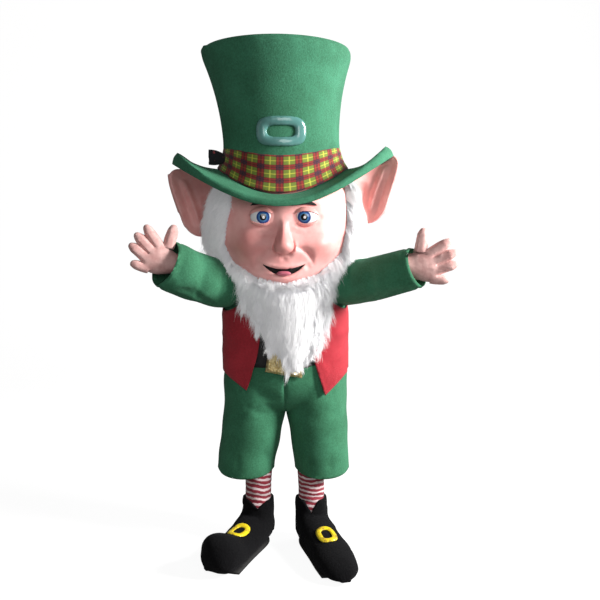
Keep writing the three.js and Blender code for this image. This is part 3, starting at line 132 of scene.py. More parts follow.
# Suit top: a green brushed jersey body in a front and a back, sewn at the sides. It is a thin shell on
# the wearer's padded form, with soft drag lines under the arms and above the belt.
class Value:
    """A number or colour in a material; sums and products of it add the nodes that work them out."""

    def __init__(self, paint, socket):
        self.paint, self.socket = paint, socket

    def maths(self, operation, other=0.0, swapped=False):
        first, second = (other, self) if swapped else (self, other)
        return self.paint.node("Math", {"operation": operation}, {0: first, 1: second})

    def __add__(self, other):
        return self.maths("ADD", other)

    __radd__ = __add__

    def __sub__(self, other):
        return self.maths("SUBTRACT", other)

    def __rsub__(self, other):
        return self.maths("SUBTRACT", other, swapped=True)

    def __mul__(self, other):
        return self.maths("MULTIPLY", other)

    __rmul__ = __mul__

    def __truediv__(self, other):
        return self.maths("DIVIDE", other)

    def step(self, low, high):
        """0 below low, 1 above high, and smooth between."""
        settings = {"interpolation_type": "SMOOTHSTEP", "clamp": True}
        return self.paint.node("MapRange", settings, {"Value": self, "From Min": low, "From Max": high})


class Paint:
    def __init__(self, name):
        self.material = bpy.data.materials.new(name)
        self.material.use_nodes = True
        self.tree = self.material.node_tree
        self.surface = self.tree.nodes["Principled BSDF"]

    def node(self, kind, settings=None, values=None, out=0):
        made = self.tree.nodes.new("ShaderNode" + kind)
        for name, setting in (settings or {}).items():
            setattr(made, name, setting)
        for name, value in (values or {}).items():
            if isinstance(value, Value):
                self.tree.links.new(value.socket, made.inputs[name])
            else:
                made.inputs[name].default_value = value
        return Value(self, made.outputs[out])

    def place(self, scale=(1, 1, 1), shift=(0, 0, 0)):
        """The piece's own coordinates in metres, stretched or shifted."""
        values = {"Vector": self.node("TexCoord", out="Object"), "Location": shift, "Scale": scale}
        return self.node("Mapping", {}, values)

    def axes(self, vector):
        return [self.node("SeparateXYZ", {}, {0: vector}, out=axis) for axis in range(3)]

    def noise(self, scale, detail=3.0, rough=0.5, vector=None):
        values = {"Vector": vector or self.place(), "Scale": scale, "Detail": detail, "Roughness": rough}
        return self.node("TexNoise", {}, values)

    def mixed(self, share, first, second):
        """A colour between two others."""
        first, second = ((*colour, 1) if isinstance(colour, tuple) else colour for colour in (first, second))
        values = {MIX["share"]: share, MIX["first"]: first, MIX["second"]: second}
        return self.node("Mix", {"data_type": "RGBA"}, values, out=MIX["out"])

    def bump(self, height, depth, under=None):
        """A surface whose relief is height times depth in metres, on top of another relief."""
        values = {"Height": height, "Distance": depth, "Strength": 1.0}
        if under is not None:
            values["Normal"] = under
        return self.node("Bump", {}, values)

    def finish(self, **sockets):
        for name, value in sockets.items():
            socket = self.surface.inputs[name.replace("_", " ").title().replace("Ior", "IOR")]
            if isinstance(value, Value):
                self.tree.links.new(value.socket, socket)
            else:
                socket.default_value = (*value, 1) if isinstance(value, tuple) else value
        return self.material


def brushed_cloth(name, dark, light, nap=0.0006, sheen=0.18):
    """A napped cloth: mottled where the nap lies either way, with a fine fuzz."""
    paint = Paint(name)
    patches = paint.noise(9, 4, 0.6)
    mottle = paint.noise(150, 4, 0.7)
    fuzz = paint.noise(900, 3, 0.7)
    share = (patches * 0.45 + mottle * 0.55).step(0.3, 0.72)
    relief = paint.bump(fuzz, nap, paint.bump(mottle, nap * 1.6))
    return paint.finish(
        base_color=paint.mixed(share, dark, light),
        roughness=0.82 + 0.14 * fuzz,
        sheen_weight=sheen,
        sheen_roughness=0.45,
        sheen_tint=(*(min(1.0, 2.2 * c + 0.08) for c in light),),
        normal=relief,
    )


SPLIT = {"coarser": 1.5, "merge": 2e-5, "rounds": 9, "flat": 0.02}


def copied_form(name, node, finest):
    """A new piece on a node's form: its triangles merged, and every edge split down to a size."""
    finest *= SPLIT["coarser"]
    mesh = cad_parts[node].data.copy()
    mesh.materials.clear()
    piece = bpy.data.objects.new(name, mesh)
    bpy.context.scene.collection.objects.link(piece)
    form = bmesh.new()
    form.from_mesh(mesh)
    bmesh.ops.remove_doubles(form, verts=form.verts, dist=SPLIT["merge"])
    for _ in range(SPLIT["rounds"]):
        long = [edge for edge in form.edges if edge.calc_length() > finest]
        if not long:
            break
        bmesh.ops.subdivide_edges(form, edges=long, cuts=1)
        bmesh.ops.triangulate(form, faces=[face for face in form.faces if len(face.verts) > 3])
        flat = [e for e in form.edges if len(e.link_faces) == 2 and e.calc_face_angle(0) < SPLIT["flat"]]
        bmesh.ops.beautify_fill(form, faces=form.faces, edges=flat)
    form.to_mesh(mesh)
    form.free()
    return piece


def points_of(piece):
    points = np.zeros(len(piece.data.vertices) * 3)
    piece.data.vertices.foreach_get("co", points)
    return points.reshape(-1, 3)


def set_points(piece, points):
    piece.data.vertices.foreach_set("co", points.ravel())
    piece.data.update()


def rounded(name, node, finest, passes, keep=55):
    """A copied form with its facets eased into a curve; edges sharper than keep degrees stay edges."""
    piece = copied_form(name, node, finest)
    form = bmesh.new()
    form.from_mesh(piece.data)
    pairs = np.array([[v.index for v in e.verts] for e in form.edges])
    sharp = np.array([len(e.link_faces) != 2 or e.calc_face_angle(0) > math.radians(keep) for e in form.edges])
    form.free()
    points = points_of(piece)
    count = len(points)

    def averaged(points, pairs):
        total = np.zeros((count, 3))
        share = np.zeros(count)
        for a, b in ((0, 1), (1, 0)):
            np.add.at(total, pairs[:, a], points[pairs[:, b]])
            np.add.at(share, pairs[:, a], 1)
        return total / np.maximum(share, 1)[:, None], share

    edges = pairs[sharp]
    _, on_edge = averaged(points, edges)
    free, edge_line = on_edge == 0, on_edge == 2
    for _ in range(passes):
        middle, _ = averaged(points, pairs)
        along, _ = averaged(points, edges)
        moved = points.copy()
        moved[free] = 0.5 * points[free] + 0.5 * middle[free]
        moved[edge_line] = 0.5 * points[edge_line] + 0.5 * along[edge_line]
        points = moved
    set_points(piece, points)
    return piece


CREASE = {"blend": 0.03, "wide": (0.6, 0.6, 0.02), "fade": (0.06, 0.6)}
WAVES = 7


def creased(piece, creases, outward, side=-1):
    """Soft troughs and ridges pressed in, seen from the front (side -1) or the back (side 1).

    Each is [across, height, across, height, bow, width, depth]: where it starts and ends, how far its
    middle bends aside, how wide it is, and how deep, or how high if depth is negative.
    """
    points = points_of(piece)
    flat = np.stack([points[:, 0], points[:, 2] + SHOULDER_HEIGHT], 1)
    near = np.clip(points[:, 1] * side / CREASE["blend"] + 0.5, 0, 1)
    moved = np.zeros(len(points))
    least, swell, tip = CREASE["wide"]
    end, power = CREASE["fade"]
    for x1, z1, x2, z2, bow, width, depth in creases:
        start, way = np.array([x1, z1]), np.array([x2 - x1, z2 - z1])
        length = np.hypot(*way)
        along = np.clip(((flat - start) @ way) / length**2, 0, 1)
        normal = np.array([-way[1], way[0]]) / length
        line = start + along[:, None] * way + (bow * 4 * along * (1 - along))[:, None] * normal
        gap = np.hypot(*(flat - line).T)
        wide = width * (least + swell * np.sin(np.pi * np.clip(along, tip, 1 - tip)))
        taper = np.sin(np.pi * np.clip(along, end, 1 - end)) ** power
        moved -= depth * taper * np.exp(-((gap / wide) ** 2)) * near
    set_points(piece, points + moved[:, None] * outward(points))
    return piece


def rippled(piece, height, length, outward, seed):
    """The slight unevenness that stuffing and wear give a cloth surface."""
    points = points_of(piece)
    wave = np.zeros(len(points))
    draw = random.Random(seed)
    for _ in range(WAVES):
        way = np.array([draw.gauss(0, 1) for _ in range(3)])
        way *= 2 * math.pi / (length * draw.uniform(0.7, 1.8) * np.linalg.norm(way))
        wave += math.sqrt(2 / WAVES) * np.sin(points @ way + draw.uniform(0, 2 * math.pi))
    set_points(piece, points + (height * 0.5 * wave)[:, None] * outward(points))
    return piece


def from_axis(x, y):
    """Outward directions from an upright line, such as the middle of the body or of a leg."""

    def outward(points):
        away = points - [x, y, 0]
        away[:, 2] = 0
        return away / np.maximum(np.linalg.norm(away, axis=1), 1e-6)[:, None]

    return outward


# How full each padded piece is.
PADS = {
    "hat_brim_felt": 0.8, "belt_buckle_lame": 0.6, "beard_backing": 0.5, "hair_backing": 0.5, "band_bow_tartan": 0.6,
}
for name in ("right", "left"):
    PADS |= {f"glove_{name}_jersey": 0.8, f"shoe_{name}_fleece": 0.7}
SMOOTH_UNDER = math.radians(50)


def worn(piece, node, material):
    """Finish a piece: smooth shading, its cloth, and its place in the costume."""
    piece.data.materials.clear()
    piece.data.materials.append(material)
    bpy.ops.object.select_all(action="DESELECT")
    piece.select_set(True)
    bpy.context.view_layer.objects.active = piece
    bpy.ops.object.shade_smooth_by_angle(angle=SMOOTH_UNDER)
    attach(piece, "root")
    if node:
        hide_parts(node)
    return piece


def panel(node, finest, side, creases, outward, unevenness, material):
    """A cloth panel worn on the body: rounded, creased, slightly uneven, and finished."""
    piece = rounded(node + "_cloth", node, finest, 24)
    creased(piece, creases, outward, side=side)
    length, seed = unevenness
    rippled(piece, RIPPLE, length, outward, seed)
    worn(piece, node, material)


RIPPLE = 0.003
BODY_UNEVENNESS = (0.16, 11)
body_outward = from_axis(0, 0)
suit_cloth = brushed_cloth("suit_green", (0.018, 0.115, 0.052), (0.045, 0.22, 0.115))
SUIT_CREASES = {
    "suit_front": (-1, [
        [-0.24, 1.02, -0.12, 1.10, 0.01, 0.016, 0.007],
        [0.24, 1.00, 0.13, 1.08, -0.01, 0.016, 0.007],
        [-0.235, 0.93, -0.10, 0.97, 0.008, 0.014, 0.005],
        [0.22, 0.91, 0.09, 0.96, 0.01, 0.015, 0.006],
        [-0.05, 0.95, 0.07, 0.93, 0.01, 0.02, 0.005],
    ]),
    "suit_back": (1, [
        [-0.20, 1.10, -0.02, 1.02, 0.02, 0.022, 0.008],
        [0.21, 1.12, 0.03, 1.05, -0.02, 0.02, 0.007],
        [-0.15, 0.92, 0.14, 0.90, 0.02, 0.02, 0.008],
    ]),
}
for name, (side, creases) in SUIT_CREASES.items():
    panel(name, 0.014, side, creases, body_outward, BODY_UNEVENNESS, suit_cloth)

# Sleeves: green jersey tubes that reach forward and out, creased a little at the elbow, with a
# pressed hem at the cuff. A path's points are out from the middle, forward, and above the floor.
SLEEVES = {
    "right": {"side": -1, "path": [
        (0.130, 0, 1.138), (0.205, 0.04, 1.138), (0.285, 0.14, 1.142), (0.358, 0.232, 1.174), (0.448, 0.300, 1.227),
    ]},
    "left": {"side": 1, "path": [
        (0.130, 0, 1.138), (0.210, 0.04, 1.142), (0.305, 0.14, 1.146), (0.400, 0.235, 1.172), (0.506, 0.300, 1.212),
    ]},
}
HEM = {"inset": 0.022, "width": 0.0035, "depth": 0.0035}
SLEEVE_CREASES = {
    "right": [
        [-0.245, 1.235, -0.255, 1.08, 0.02, 0.014, 0.010],
        [-0.30, 1.245, -0.33, 1.10, 0.014, 0.013, 0.008],
        [-0.27, 1.05, -0.34, 1.13, 0.01, 0.011, 0.007],
        [-0.36, 1.27, -0.38, 1.16, -0.01, 0.014, 0.005],
        [-0.40, 1.13, -0.33, 1.09, 0.01, 0.012, 0.006],
    ],
    "left": [
        [0.26, 1.235, 0.27, 1.07, -0.02, 0.014, 0.010],
        [0.33, 1.235, 0.36, 1.09, -0.014, 0.013, 0.008],
        [0.29, 1.06, 0.38, 1.12, -0.01, 0.011, 0.007],
        [0.41, 1.245, 0.43, 1.14, 0.01, 0.014, 0.006],
        [0.45, 1.12, 0.37, 1.08, -0.01, 0.012, 0.006],
    ],
}


def from_path(path, side):
    """Outward directions from a sleeve's centre line."""
    line = np.array([(side * x, -y, z - SHOULDER_HEIGHT) for x, y, z in path])

    def outward(points):
        best = np.full(len(points), 9.0)
        away = np.zeros_like(points)
        for a, b in zip(line[:-1], line[1:]):
            share = np.clip(((points - a) @ (b - a)) / ((b - a) @ (b - a)), 0, 1)
            gap = points - (a + share[:, None] * (b - a))
            far = np.linalg.norm(gap, axis=1)
            closer = far < best
            best[closer], away[closer] = far[closer], gap[closer]
        return away / np.maximum(np.linalg.norm(away, axis=1), 1e-6)[:, None]

    return outward


def hem_pressed(piece, plane_point, plane_normal, outward):
    """The dimple that a row of hem stitches pulls in, at a distance inside a cut edge."""
    points = points_of(piece)
    gap = (points - plane_point) @ plane_normal + HEM["inset"]
    dip = HEM["depth"] * np.exp(-((gap / HEM["width"]) ** 2))
    swell = 0.5 * HEM["depth"] * np.exp(-(((gap - HEM["inset"] / 2) / (HEM["inset"] / 2.2)) ** 2))
    set_points(piece, points + (swell - dip)[:, None] * outward(points))


for side_name, arm in SLEEVES.items():
    outward = from_path(arm["path"], arm["side"])
    piece = rounded(f"sleeve_{side_name}_cloth", f"sleeve_{side_name}", 0.010, 26)
    creases = SLEEVE_CREASES[side_name]
    creased(piece, creases, outward)
    behind = [[x1, z1 + 0.02, x2, z2 - 0.01, -bow, width, depth] for x1, z1, x2, z2, bow, width, depth in creases]
    creased(piece, behind, outward, side=1)
    rippled(piece, RIPPLE, 0.12, outward, 21)
    elbow, cuff = (Vector((arm["side"] * x, -y, z - SHOULDER_HEIGHT)) for x, y, z in arm["path"][-2:])
    hem_pressed(piece, np.array(cuff), np.array((cuff - elbow).normalized()), outward)
    worn(piece, f"sleeve_{side_name}", suit_cloth)

# Breeches: four green panels, full over the hips, with a hem below each knee that dips in front.
LEG_OUT = {"right": -0.145, "left": 0.142}
BREECHES_CREASES = {
    ("front", "right"): [
        [-0.02, 0.66, -0.13, 0.72, 0.01, 0.018, 0.008],
        [-0.03, 0.60, -0.15, 0.63, 0.012, 0.018, 0.007],
        [-0.24, 0.55, -0.16, 0.60, 0.01, 0.016, 0.005],
        [-0.09, 0.44, -0.07, 0.36, 0.006, 0.014, 0.005],
        [-0.20, 0.42, -0.21, 0.34, 0.006, 0.014, 0.004],
    ],
    ("front", "left"): [
        [0.02, 0.65, 0.12, 0.72, -0.01, 0.018, 0.008],
        [0.03, 0.59, 0.16, 0.62, -0.012, 0.018, 0.006],
        [0.23, 0.57, 0.17, 0.61, -0.01, 0.016, 0.005],
        [0.10, 0.43, 0.085, 0.35, 0.006, 0.014, 0.005],
        [0.19, 0.41, 0.20, 0.34, -0.006, 0.014, 0.004],
    ],
    ("back", "right"): [
        [-0.02, 0.64, -0.14, 0.60, 0.02, 0.02, 0.010],
        [-0.05, 0.55, -0.20, 0.53, 0.01, 0.02, 0.008],
        [-0.10, 0.46, -0.22, 0.47, 0.01, 0.016, 0.006],
    ],
    ("back", "left"): [
        [0.02, 0.63, 0.15, 0.59, -0.02, 0.02, 0.010],
        [0.06, 0.54, 0.21, 0.52, -0.01, 0.02, 0.008],
        [0.11, 0.45, 0.22, 0.46, -0.01, 0.016, 0.006],
    ],
}
for (face, side_name), creases in BREECHES_CREASES.items():
    side = -1 if face == "front" else 1
    outward = from_axis(LEG_OUT[side_name], 0)
    panel(f"breeches_{face}_{side_name}", 0.014, side, creases, outward, (0.15, 31), suit_cloth)

# Stockings: thin striped knit tubes, wrinkled above the shoes.
STRIPE_PITCH = 0.021
RIBS_PER_METRE = 2600 / (2 * math.pi)
STOCKING_CREASES = [
    [-0.06, 0.325, 0.05, 0.300, 0.006, 0.007, 0.005],
    [-0.05, 0.285, 0.06, 0.265, -0.006, 0.007, 0.006],
    [-0.06, 0.245, 0.03, 0.262, 0.006, 0.006, 0.005],
    [-0.04, 0.225, 0.06, 0.205, 0.005, 0.007, 0.006],
    [0.00, 0.275, 0.06, 0.295, 0.004, 0.006, 0.004],
    [-0.06, 0.205, 0.02, 0.190, 0.004, 0.006, 0.005],
]
STOCKING_MIDDLE = {"right": (-0.118, -0.012), "left": (0.111, -0.012)}


def striped_knit(name):
    paint = Paint(name)
    wobble = paint.noise(16, 3, 0.6) - 0.5
    slant = paint.noise(6, 1, 0.5, paint.place(shift=(3, 1, 2))) - 0.5
    across, _, height = paint.axes(paint.place())
    place = height + wobble * 0.022 + slant * 0.03 + across * 0.05
    wave = (place * (2 * math.pi / STRIPE_PITCH)).maths("SINE")
    stripe = wave.step(-0.42, -0.10)
    ribs = (across * (2 * math.pi * RIBS_PER_METRE)).maths("SINE")
    worn_tone = paint.noise(60, 3, 0.6)
    white = paint.mixed(worn_tone, (0.66, 0.47, 0.49), (0.86, 0.74, 0.75))
    red = paint.mixed(worn_tone, (0.19, 0.008, 0.02), (0.36, 0.02, 0.045))
    return paint.finish(
        base_color=paint.mixed(stripe, white, red),
        roughness=0.72,
        sheen_weight=0.15,
        normal=paint.bump(ribs, 0.0003, paint.bump(paint.noise(700, 2, 0.5), 0.0004)),
    )


knit = striped_knit("striped_knit")
for side_name, (x, y) in STOCKING_MIDDLE.items():
    outward = from_axis(x, y)
    piece = rounded(f"stocking_{side_name}_knit", f"stocking_{side_name}", 0.007, 14)
    for side, shift in ((-1, 0.0), (1, 0.012)):
        moved = [
            [x + a, h1 + shift, x + b, h2 + shift, bow, width, depth]
            for a, h1, b, h2, bow, width, depth in STOCKING_CREASES
        ]
        creased(piece, moved, outward, side=side)
    worn(piece, f"stocking_{side_name}", knit)


# Shoes: black fleece over a soft bulbous form, on a thin dark rubber sole, each with a raised yellow
# buckle across the instep.
def black_fleece(name):
    paint = Paint(name)
    fuzz = paint.noise(420, 4, 0.75)
    tufts = paint.noise(120, 3, 0.6)
    return paint.finish(
        base_color=paint.mixed(fuzz.step(0.35, 0.75), (0.0015, 0.0015, 0.002), (0.008, 0.008, 0.009)),
        roughness=0.95,
        specular_ior_level=0.12,
        sheen_weight=0.04,
        sheen_roughness=0.5,
        sheen_tint=(0.5, 0.5, 0.55),
        normal=paint.bump(fuzz, 0.0016, paint.bump(tufts, 0.003)),
    )


def grained(name, scale, dark, light, roughness, depth):
    """A plain surface with a grain between two colours, which also shows in its relief."""
    paint = Paint(name)
    grain = paint.noise(scale, 3, 0.6)
    return paint.finish(
        base_color=paint.mixed(grain, dark, light), roughness=roughness, normal=paint.bump(grain, depth),
    )


fleece = black_fleece("black_fleece")
rubber = grained("sole_rubber", 500, (0.008, 0.008, 0.008), (0.02, 0.02, 0.02), 0.75, 0.0006)
SHOE_CREASES = {
    "right": [
        [-0.19, 0.165, -0.10, 0.150, 0.01, 0.012, 0.007],
        [-0.17, 0.135, -0.09, 0.120, 0.012, 0.010, 0.005],
        [-0.18, 0.195, -0.12, 0.188, 0.004, 0.008, 0.005],
    ],
    "left": [
        [0.18, 0.165, 0.09, 0.150, -0.01, 0.012, 0.007],
        [0.17, 0.135, 0.08, 0.120, -0.012, 0.010, 0.005],
        [0.17, 0.195, 0.11, 0.188, -0.004, 0.008, 0.005],
    ],
}
for side_name, (x, y) in STOCKING_MIDDLE.items():
    upper = rounded(f"shoe_{side_name}_fleece", f"shoe_upper_{side_name}", 0.010, 18, keep=70)
    outward = from_axis(x, y - 0.05)
    for side in (-1, 1):
        creased(upper, SHOE_CREASES[side_name], outward, side=side)
    rippled(upper, RIPPLE, 0.07, outward, 41)
    worn(upper, f"shoe_upper_{side_name}", fleece)
    sole = rounded(f"shoe_{side_name}_sole", f"shoe_sole_{side_name}", 0.02, 4)
    worn(sole, f"shoe_sole_{side_name}", rubber)


def yellow_plastic(name):
    """Glossy yellow, browner and duller in patches scattered by noise, which are painted shade."""
    paint = Paint(name)
    # Browner, duller patches scattered by noise: painted shade, not wear.
    shade_patches = paint.noise(26, 4, 0.7).step(0.50, 0.66)
    return paint.finish(
        base_color=paint.mixed(shade_patches, (0.86, 0.66, 0.02), (0.36, 0.22, 0.03)),
        roughness=0.28 + 0.25 * shade_patches,
        coat_weight=0.3,
        coat_roughness=0.12,
        normal=paint.bump(paint.noise(60, 3, 0.5), 0.0008),
    )


buckle_yellow = yellow_plastic("buckle_yellow")
for side_name in STOCKING_MIDDLE:
    buckle = rounded(f"shoe_{side_name}_buckle", f"shoe_buckle_{side_name}", 0.006, 6, keep=75)
    worn(buckle, f"shoe_buckle_{side_name}", buckle_yellow)


# Waistcoat: red twill in two fronts and a back, open down the middle, with pointed hems in front.
def red_twill(name):
    paint = Paint(name)
    across, deep, height = paint.axes(paint.place())
    twill = ((across + deep + height) * 3600).maths("SINE")
    mottle = paint.noise(120, 4, 0.7)
    patches = paint.noise(8, 3, 0.5)
    share = (patches * 0.5 + mottle * 0.5).step(0.3, 0.7)
    return paint.finish(
        base_color=paint.mixed(share, (0.34, 0.009, 0.020), (0.52, 0.024, 0.042)),
        roughness=0.8 + 0.1 * mottle,
        sheen_weight=0.16,
        sheen_roughness=0.45,
        sheen_tint=(1.0, 0.55, 0.55),
        normal=paint.bump(twill, 0.00018, paint.bump(paint.noise(800, 3, 0.6), 0.0005)),
    )


twill = red_twill("red_twill")
VEST_CREASES = {
    "vest_front_right": (-1, [
        [-0.27, 0.99, -0.18, 1.03, 0.012, 0.018, -0.005],
        [-0.27, 0.92, -0.17, 0.90, 0.012, 0.018, -0.006],
        [-0.27, 0.86, -0.18, 0.82, -0.01, 0.016, -0.004],
        [-0.26, 0.89, -0.19, 0.86, -0.01, 0.014, 0.003],
        [-0.13, 0.84, -0.16, 0.75, 0.008, 0.016, -0.004],
    ]),
    "vest_front_left": (-1, [
        [0.27, 1.00, 0.17, 1.04, -0.012, 0.018, -0.005],
        [0.27, 0.93, 0.18, 0.91, -0.012, 0.018, -0.006],
        [0.27, 0.86, 0.19, 0.82, 0.01, 0.016, -0.004],
        [0.26, 0.90, 0.20, 0.87, 0.01, 0.014, 0.003],
        [0.14, 0.83, 0.17, 0.73, 0.008, 0.016, -0.004],
    ]),
    "vest_back": (1, [
        [-0.22, 1.08, -0.06, 0.99, 0.02, 0.022, -0.006],
        [0.23, 1.06, 0.05, 0.97, -0.02, 0.022, -0.006],
        [-0.20, 0.85, 0.18, 0.87, 0.02, 0.022, -0.005],
    ]),
}
for name, (side, creases) in VEST_CREASES.items():
    panel(name, 0.012, side, creases, body_outward, BODY_UNEVENNESS, twill)


# Belt: a wide black leatherette band round the waist, with a padded, crinkled gold buckle.
def black_leather(name):
    paint = Paint(name)
    cells = paint.node("TexVoronoi", {"feature": "DISTANCE_TO_EDGE"}, {"Vector": paint.place(), "Scale": 420.0})
    grain = paint.noise(600, 3, 0.6)
    return paint.finish(
        base_color=paint.mixed(grain, (0.006, 0.006, 0.007), (0.016, 0.015, 0.016)),
        roughness=0.42 + 0.2 * grain,
        normal=paint.bump(cells.step(0.0, 0.25), 0.0004),
    )


def gold_lame(name):
    """Crinkled gold cloth: sharp little facets that catch the light."""
    paint = Paint(name)
    crinkle = paint.node("TexVoronoi", {"feature": "F1"}, {"Vector": paint.place(), "Scale": 110.0})
    folds = paint.noise(45, 4, 0.75)
    tone = (folds * 0.6 + crinkle * 0.4).step(0.25, 0.75)
    return paint.finish(
        base_color=paint.mixed(tone, (0.50, 0.34, 0.12), (0.95, 0.80, 0.42)),
        metallic=0.85,
        roughness=0.26 + 0.18 * folds,
        normal=paint.bump(folds, 0.004, paint.bump(crinkle, 0.0022)),
    )


def forward(points):
    """The same outward direction everywhere, for what lies on the front."""
    return np.tile([0.0, -1.0, 0.0], (len(points), 1))


leather = black_leather("belt_leather")
gold = gold_lame("gold_lame")
belt = rounded("belt_band", "belt", 0.014, 24)
worn(belt, "belt", leather)
belt_buckle = rounded("belt_buckle_lame", "belt_buckle", 0.0045, 5, keep=80)
rippled(belt_buckle, 0.0022, 0.018, forward, 51)
worn(belt_buckle, "belt_buckle", gold)


# Gloves: padded flesh-coloured jersey hands with soft round fingers.
def skin_jersey(name):
    paint = Paint(name)
    mottle = paint.noise(30, 4, 0.6)
    fine = paint.noise(900, 2, 0.5)
    return paint.finish(
        base_color=paint.mixed(mottle.step(0.3, 0.7), (0.56, 0.29, 0.27), (0.74, 0.46, 0.43)),
        roughness=0.75,
        sheen_weight=0.2,
        sheen_tint=(1.0, 0.8, 0.78),
        normal=paint.bump(fine, 0.0003, paint.bump(mottle, 0.002)),
    )


jersey = skin_jersey("glove_jersey")
for side_name in SLEEVES:
    hand = rounded(f"glove_{side_name}_jersey", f"glove_{side_name}", 0.006, 14, keep=82)
    worn(hand, f"glove_{side_name}", jersey)


# Head: a light moulded shell in soft pink paint, redder on the nose and cheeks, with the wearer's view
# through the mouth.
CHEEK = {"out": 0.150, "height": 0.05, "reach": 0.085}


def painted_skin(name):
    """Soft pink paint, mottled, with a redder nose and cheeks."""
    paint = Paint(name)
    across, _, height = paint.axes(paint.place())
    mottle = paint.noise(14, 4, 0.6)
    fine = paint.noise(380, 3, 0.6)
    about_nose = {"Vector": paint.place(scale=(11, 11, 11), shift=(0, 3.6, -0.62))}
    nose = paint.node("TexGradient", {"gradient_type": "SPHERICAL"}, about_nose)
    aside, above = across.maths("ABSOLUTE") - CHEEK["out"], height - CHEEK["height"]
    cheeks = 1 - (aside * aside + above * above).maths("SQRT").step(0.0, CHEEK["reach"])
    base = paint.mixed(mottle.step(0.3, 0.75), (0.84, 0.36, 0.34), (0.95, 0.50, 0.47))
    return paint.finish(
        base_color=paint.mixed((nose + cheeks * 0.8).maths("MINIMUM", 1.0) * 0.6, base, (0.62, 0.16, 0.14)),
        roughness=0.46 + 0.12 * fine,
        coat_weight=0.08,
        coat_roughness=0.35,
        normal=paint.bump(fine, 0.00025, paint.bump(mottle, 0.0016)),
    )


skin = painted_skin("painted_skin")
head = rounded("head_form", "head_shell", 0.0065, 30, keep=70)
# Forms moulded on the face: across, height, half width, half height, and how far each stands out.
FACE_FORMS = [
    (0.140, 1.292, 0.058, 0.046, 0.026), (0.084, 1.402, 0.062, 0.050, -0.009), (0.085, 1.462, 0.062, 0.020, 0.010),
    (0.000, 1.292, 0.038, 0.030, 0.020), (0.036, 1.280, 0.020, 0.018, 0.013), (0.018, 1.258, 0.010, 0.008, -0.007),
    (0.000, 1.350, 0.018, 0.044, 0.006), (0.000, 1.156, 0.058, 0.020, 0.010), (0.076, 1.340, 0.050, 0.016, -0.008),
    (0.000, 1.244, 0.012, 0.012, -0.005), (0.094, 1.214, 0.012, 0.012, -0.006),
]
FACE_FOLDS = [
    [0.050, 1.286, 0.112, 1.222, 0.016, 0.010, 0.011], [0.056, 1.298, 0.042, 1.270, 0.006, 0.007, 0.003],
    [0.040, 1.372, 0.128, 1.376, -0.012, 0.007, 0.006], [0.132, 1.392, 0.150, 1.404, 0.002, 0.006, 0.004],
    [-0.082, 1.196, 0.082, 1.196, -0.030, 0.010, -0.008], [-0.088, 1.226, 0.088, 1.226, -0.016, 0.007, -0.006],
]


points = points_of(head)
normals = np.array([v.normal for v in head.data.vertices])
FACE_DEPTH = -0.10
facing = np.clip(-normals[:, 1], 0, 1) * (points[:, 1] < FACE_DEPTH)
for across, height, wide, tall, out in FACE_FORMS:
    for side in ({1, -1} if across else {1}):
        gap = ((points[:, 0] - side * across) / wide) ** 2 + ((points[:, 2] + SHOULDER_HEIGHT - height) / tall) ** 2
        points += (out * facing * np.exp(-gap))[:, None] * normals
set_points(head, points)
creased(head, FACE_FOLDS, forward)
# All but the two long folds, which cross the middle, have a twin on the other side.
twins = [[-x1, z1, -x2, z2, -bow, width, depth] for x1, z1, x2, z2, bow, width, depth in FACE_FOLDS[:-2]]
creased(head, twins, forward)
worn(head, "head_shell", skin)

# Ears: moulded with the head and painted like it, cupped, with a rolled rim, an inner ridge that runs
# down from the tip, and a deep hollow beside the head.
# Height above the floor, and how far out the ear starts and ends there.
EAR_ROWS = [(1.322, 0.322, 0.372), (1.338, 0.300, 0.404), (1.370, 0.284, 0.432), (1.425, 0.280, 0.450),
            (1.485, 0.280, 0.470), (1.540, 0.290, 0.486), (1.580, 0.330, 0.490), (1.604, 0.390, 0.468)]
EAR_FADE = 0.12
EAR_SHIFT = {"right": (0.0, 0.0), "left": (-0.008, 0.056)}
EAR_RIDGES = [
    {"across": (0.50, 0.70), "width": 0.065, "forward": 0.015, "from": 0.16, "to": 0.86},
    {"across": (0.72, 0.84), "width": 0.050, "forward": -0.009, "from": 0.10, "to": 0.90},
    {"across": (0.93, 0.93), "width": 0.060, "forward": 0.008, "from": 0.04, "to": 1.00},
    {"across": (0.26, 0.34), "width": 0.110, "forward": -0.016, "from": 0.14, "to": 0.62},
    {"across": (0.10, 0.16), "width": 0.050, "forward": 0.010, "from": 0.20, "to": 0.46},
]
for side_name, side in (("right", -1), ("left", 1)):
    ear = rounded(f"ear_{side_name}_form", f"ear_{side_name}", 0.0055, 14, keep=88)
    points = points_of(ear)
    facing = np.array([max(0.0, -v.normal.y) for v in ear.data.vertices]) ** 0.5
    out, up = EAR_SHIFT[side_name]
    heights = points[:, 2] + SHOULDER_HEIGHT - up
    rows = np.array(EAR_ROWS)
    start, end = (np.interp(heights, rows[:, 0], rows[:, k]) for k in (1, 2))
    across = (side * points[:, 0] - out - start) / (end - start)
    climb = (heights - rows[0, 0]) / (rows[-1, 0] - rows[0, 0])
    for ridge in EAR_RIDGES:
        middle = ridge["across"][0] + (ridge["across"][1] - ridge["across"][0]) * climb
        shown = np.clip((climb - ridge["from"]) / EAR_FADE, 0, 1) * np.clip((ridge["to"] - climb) / EAR_FADE, 0, 1)
        points[:, 1] -= ridge["forward"] * facing * shown * np.exp(-(((across - middle) / ridge["width"]) ** 2))
    set_points(ear, points)
    worn(ear, f"ear_{side_name}", skin)

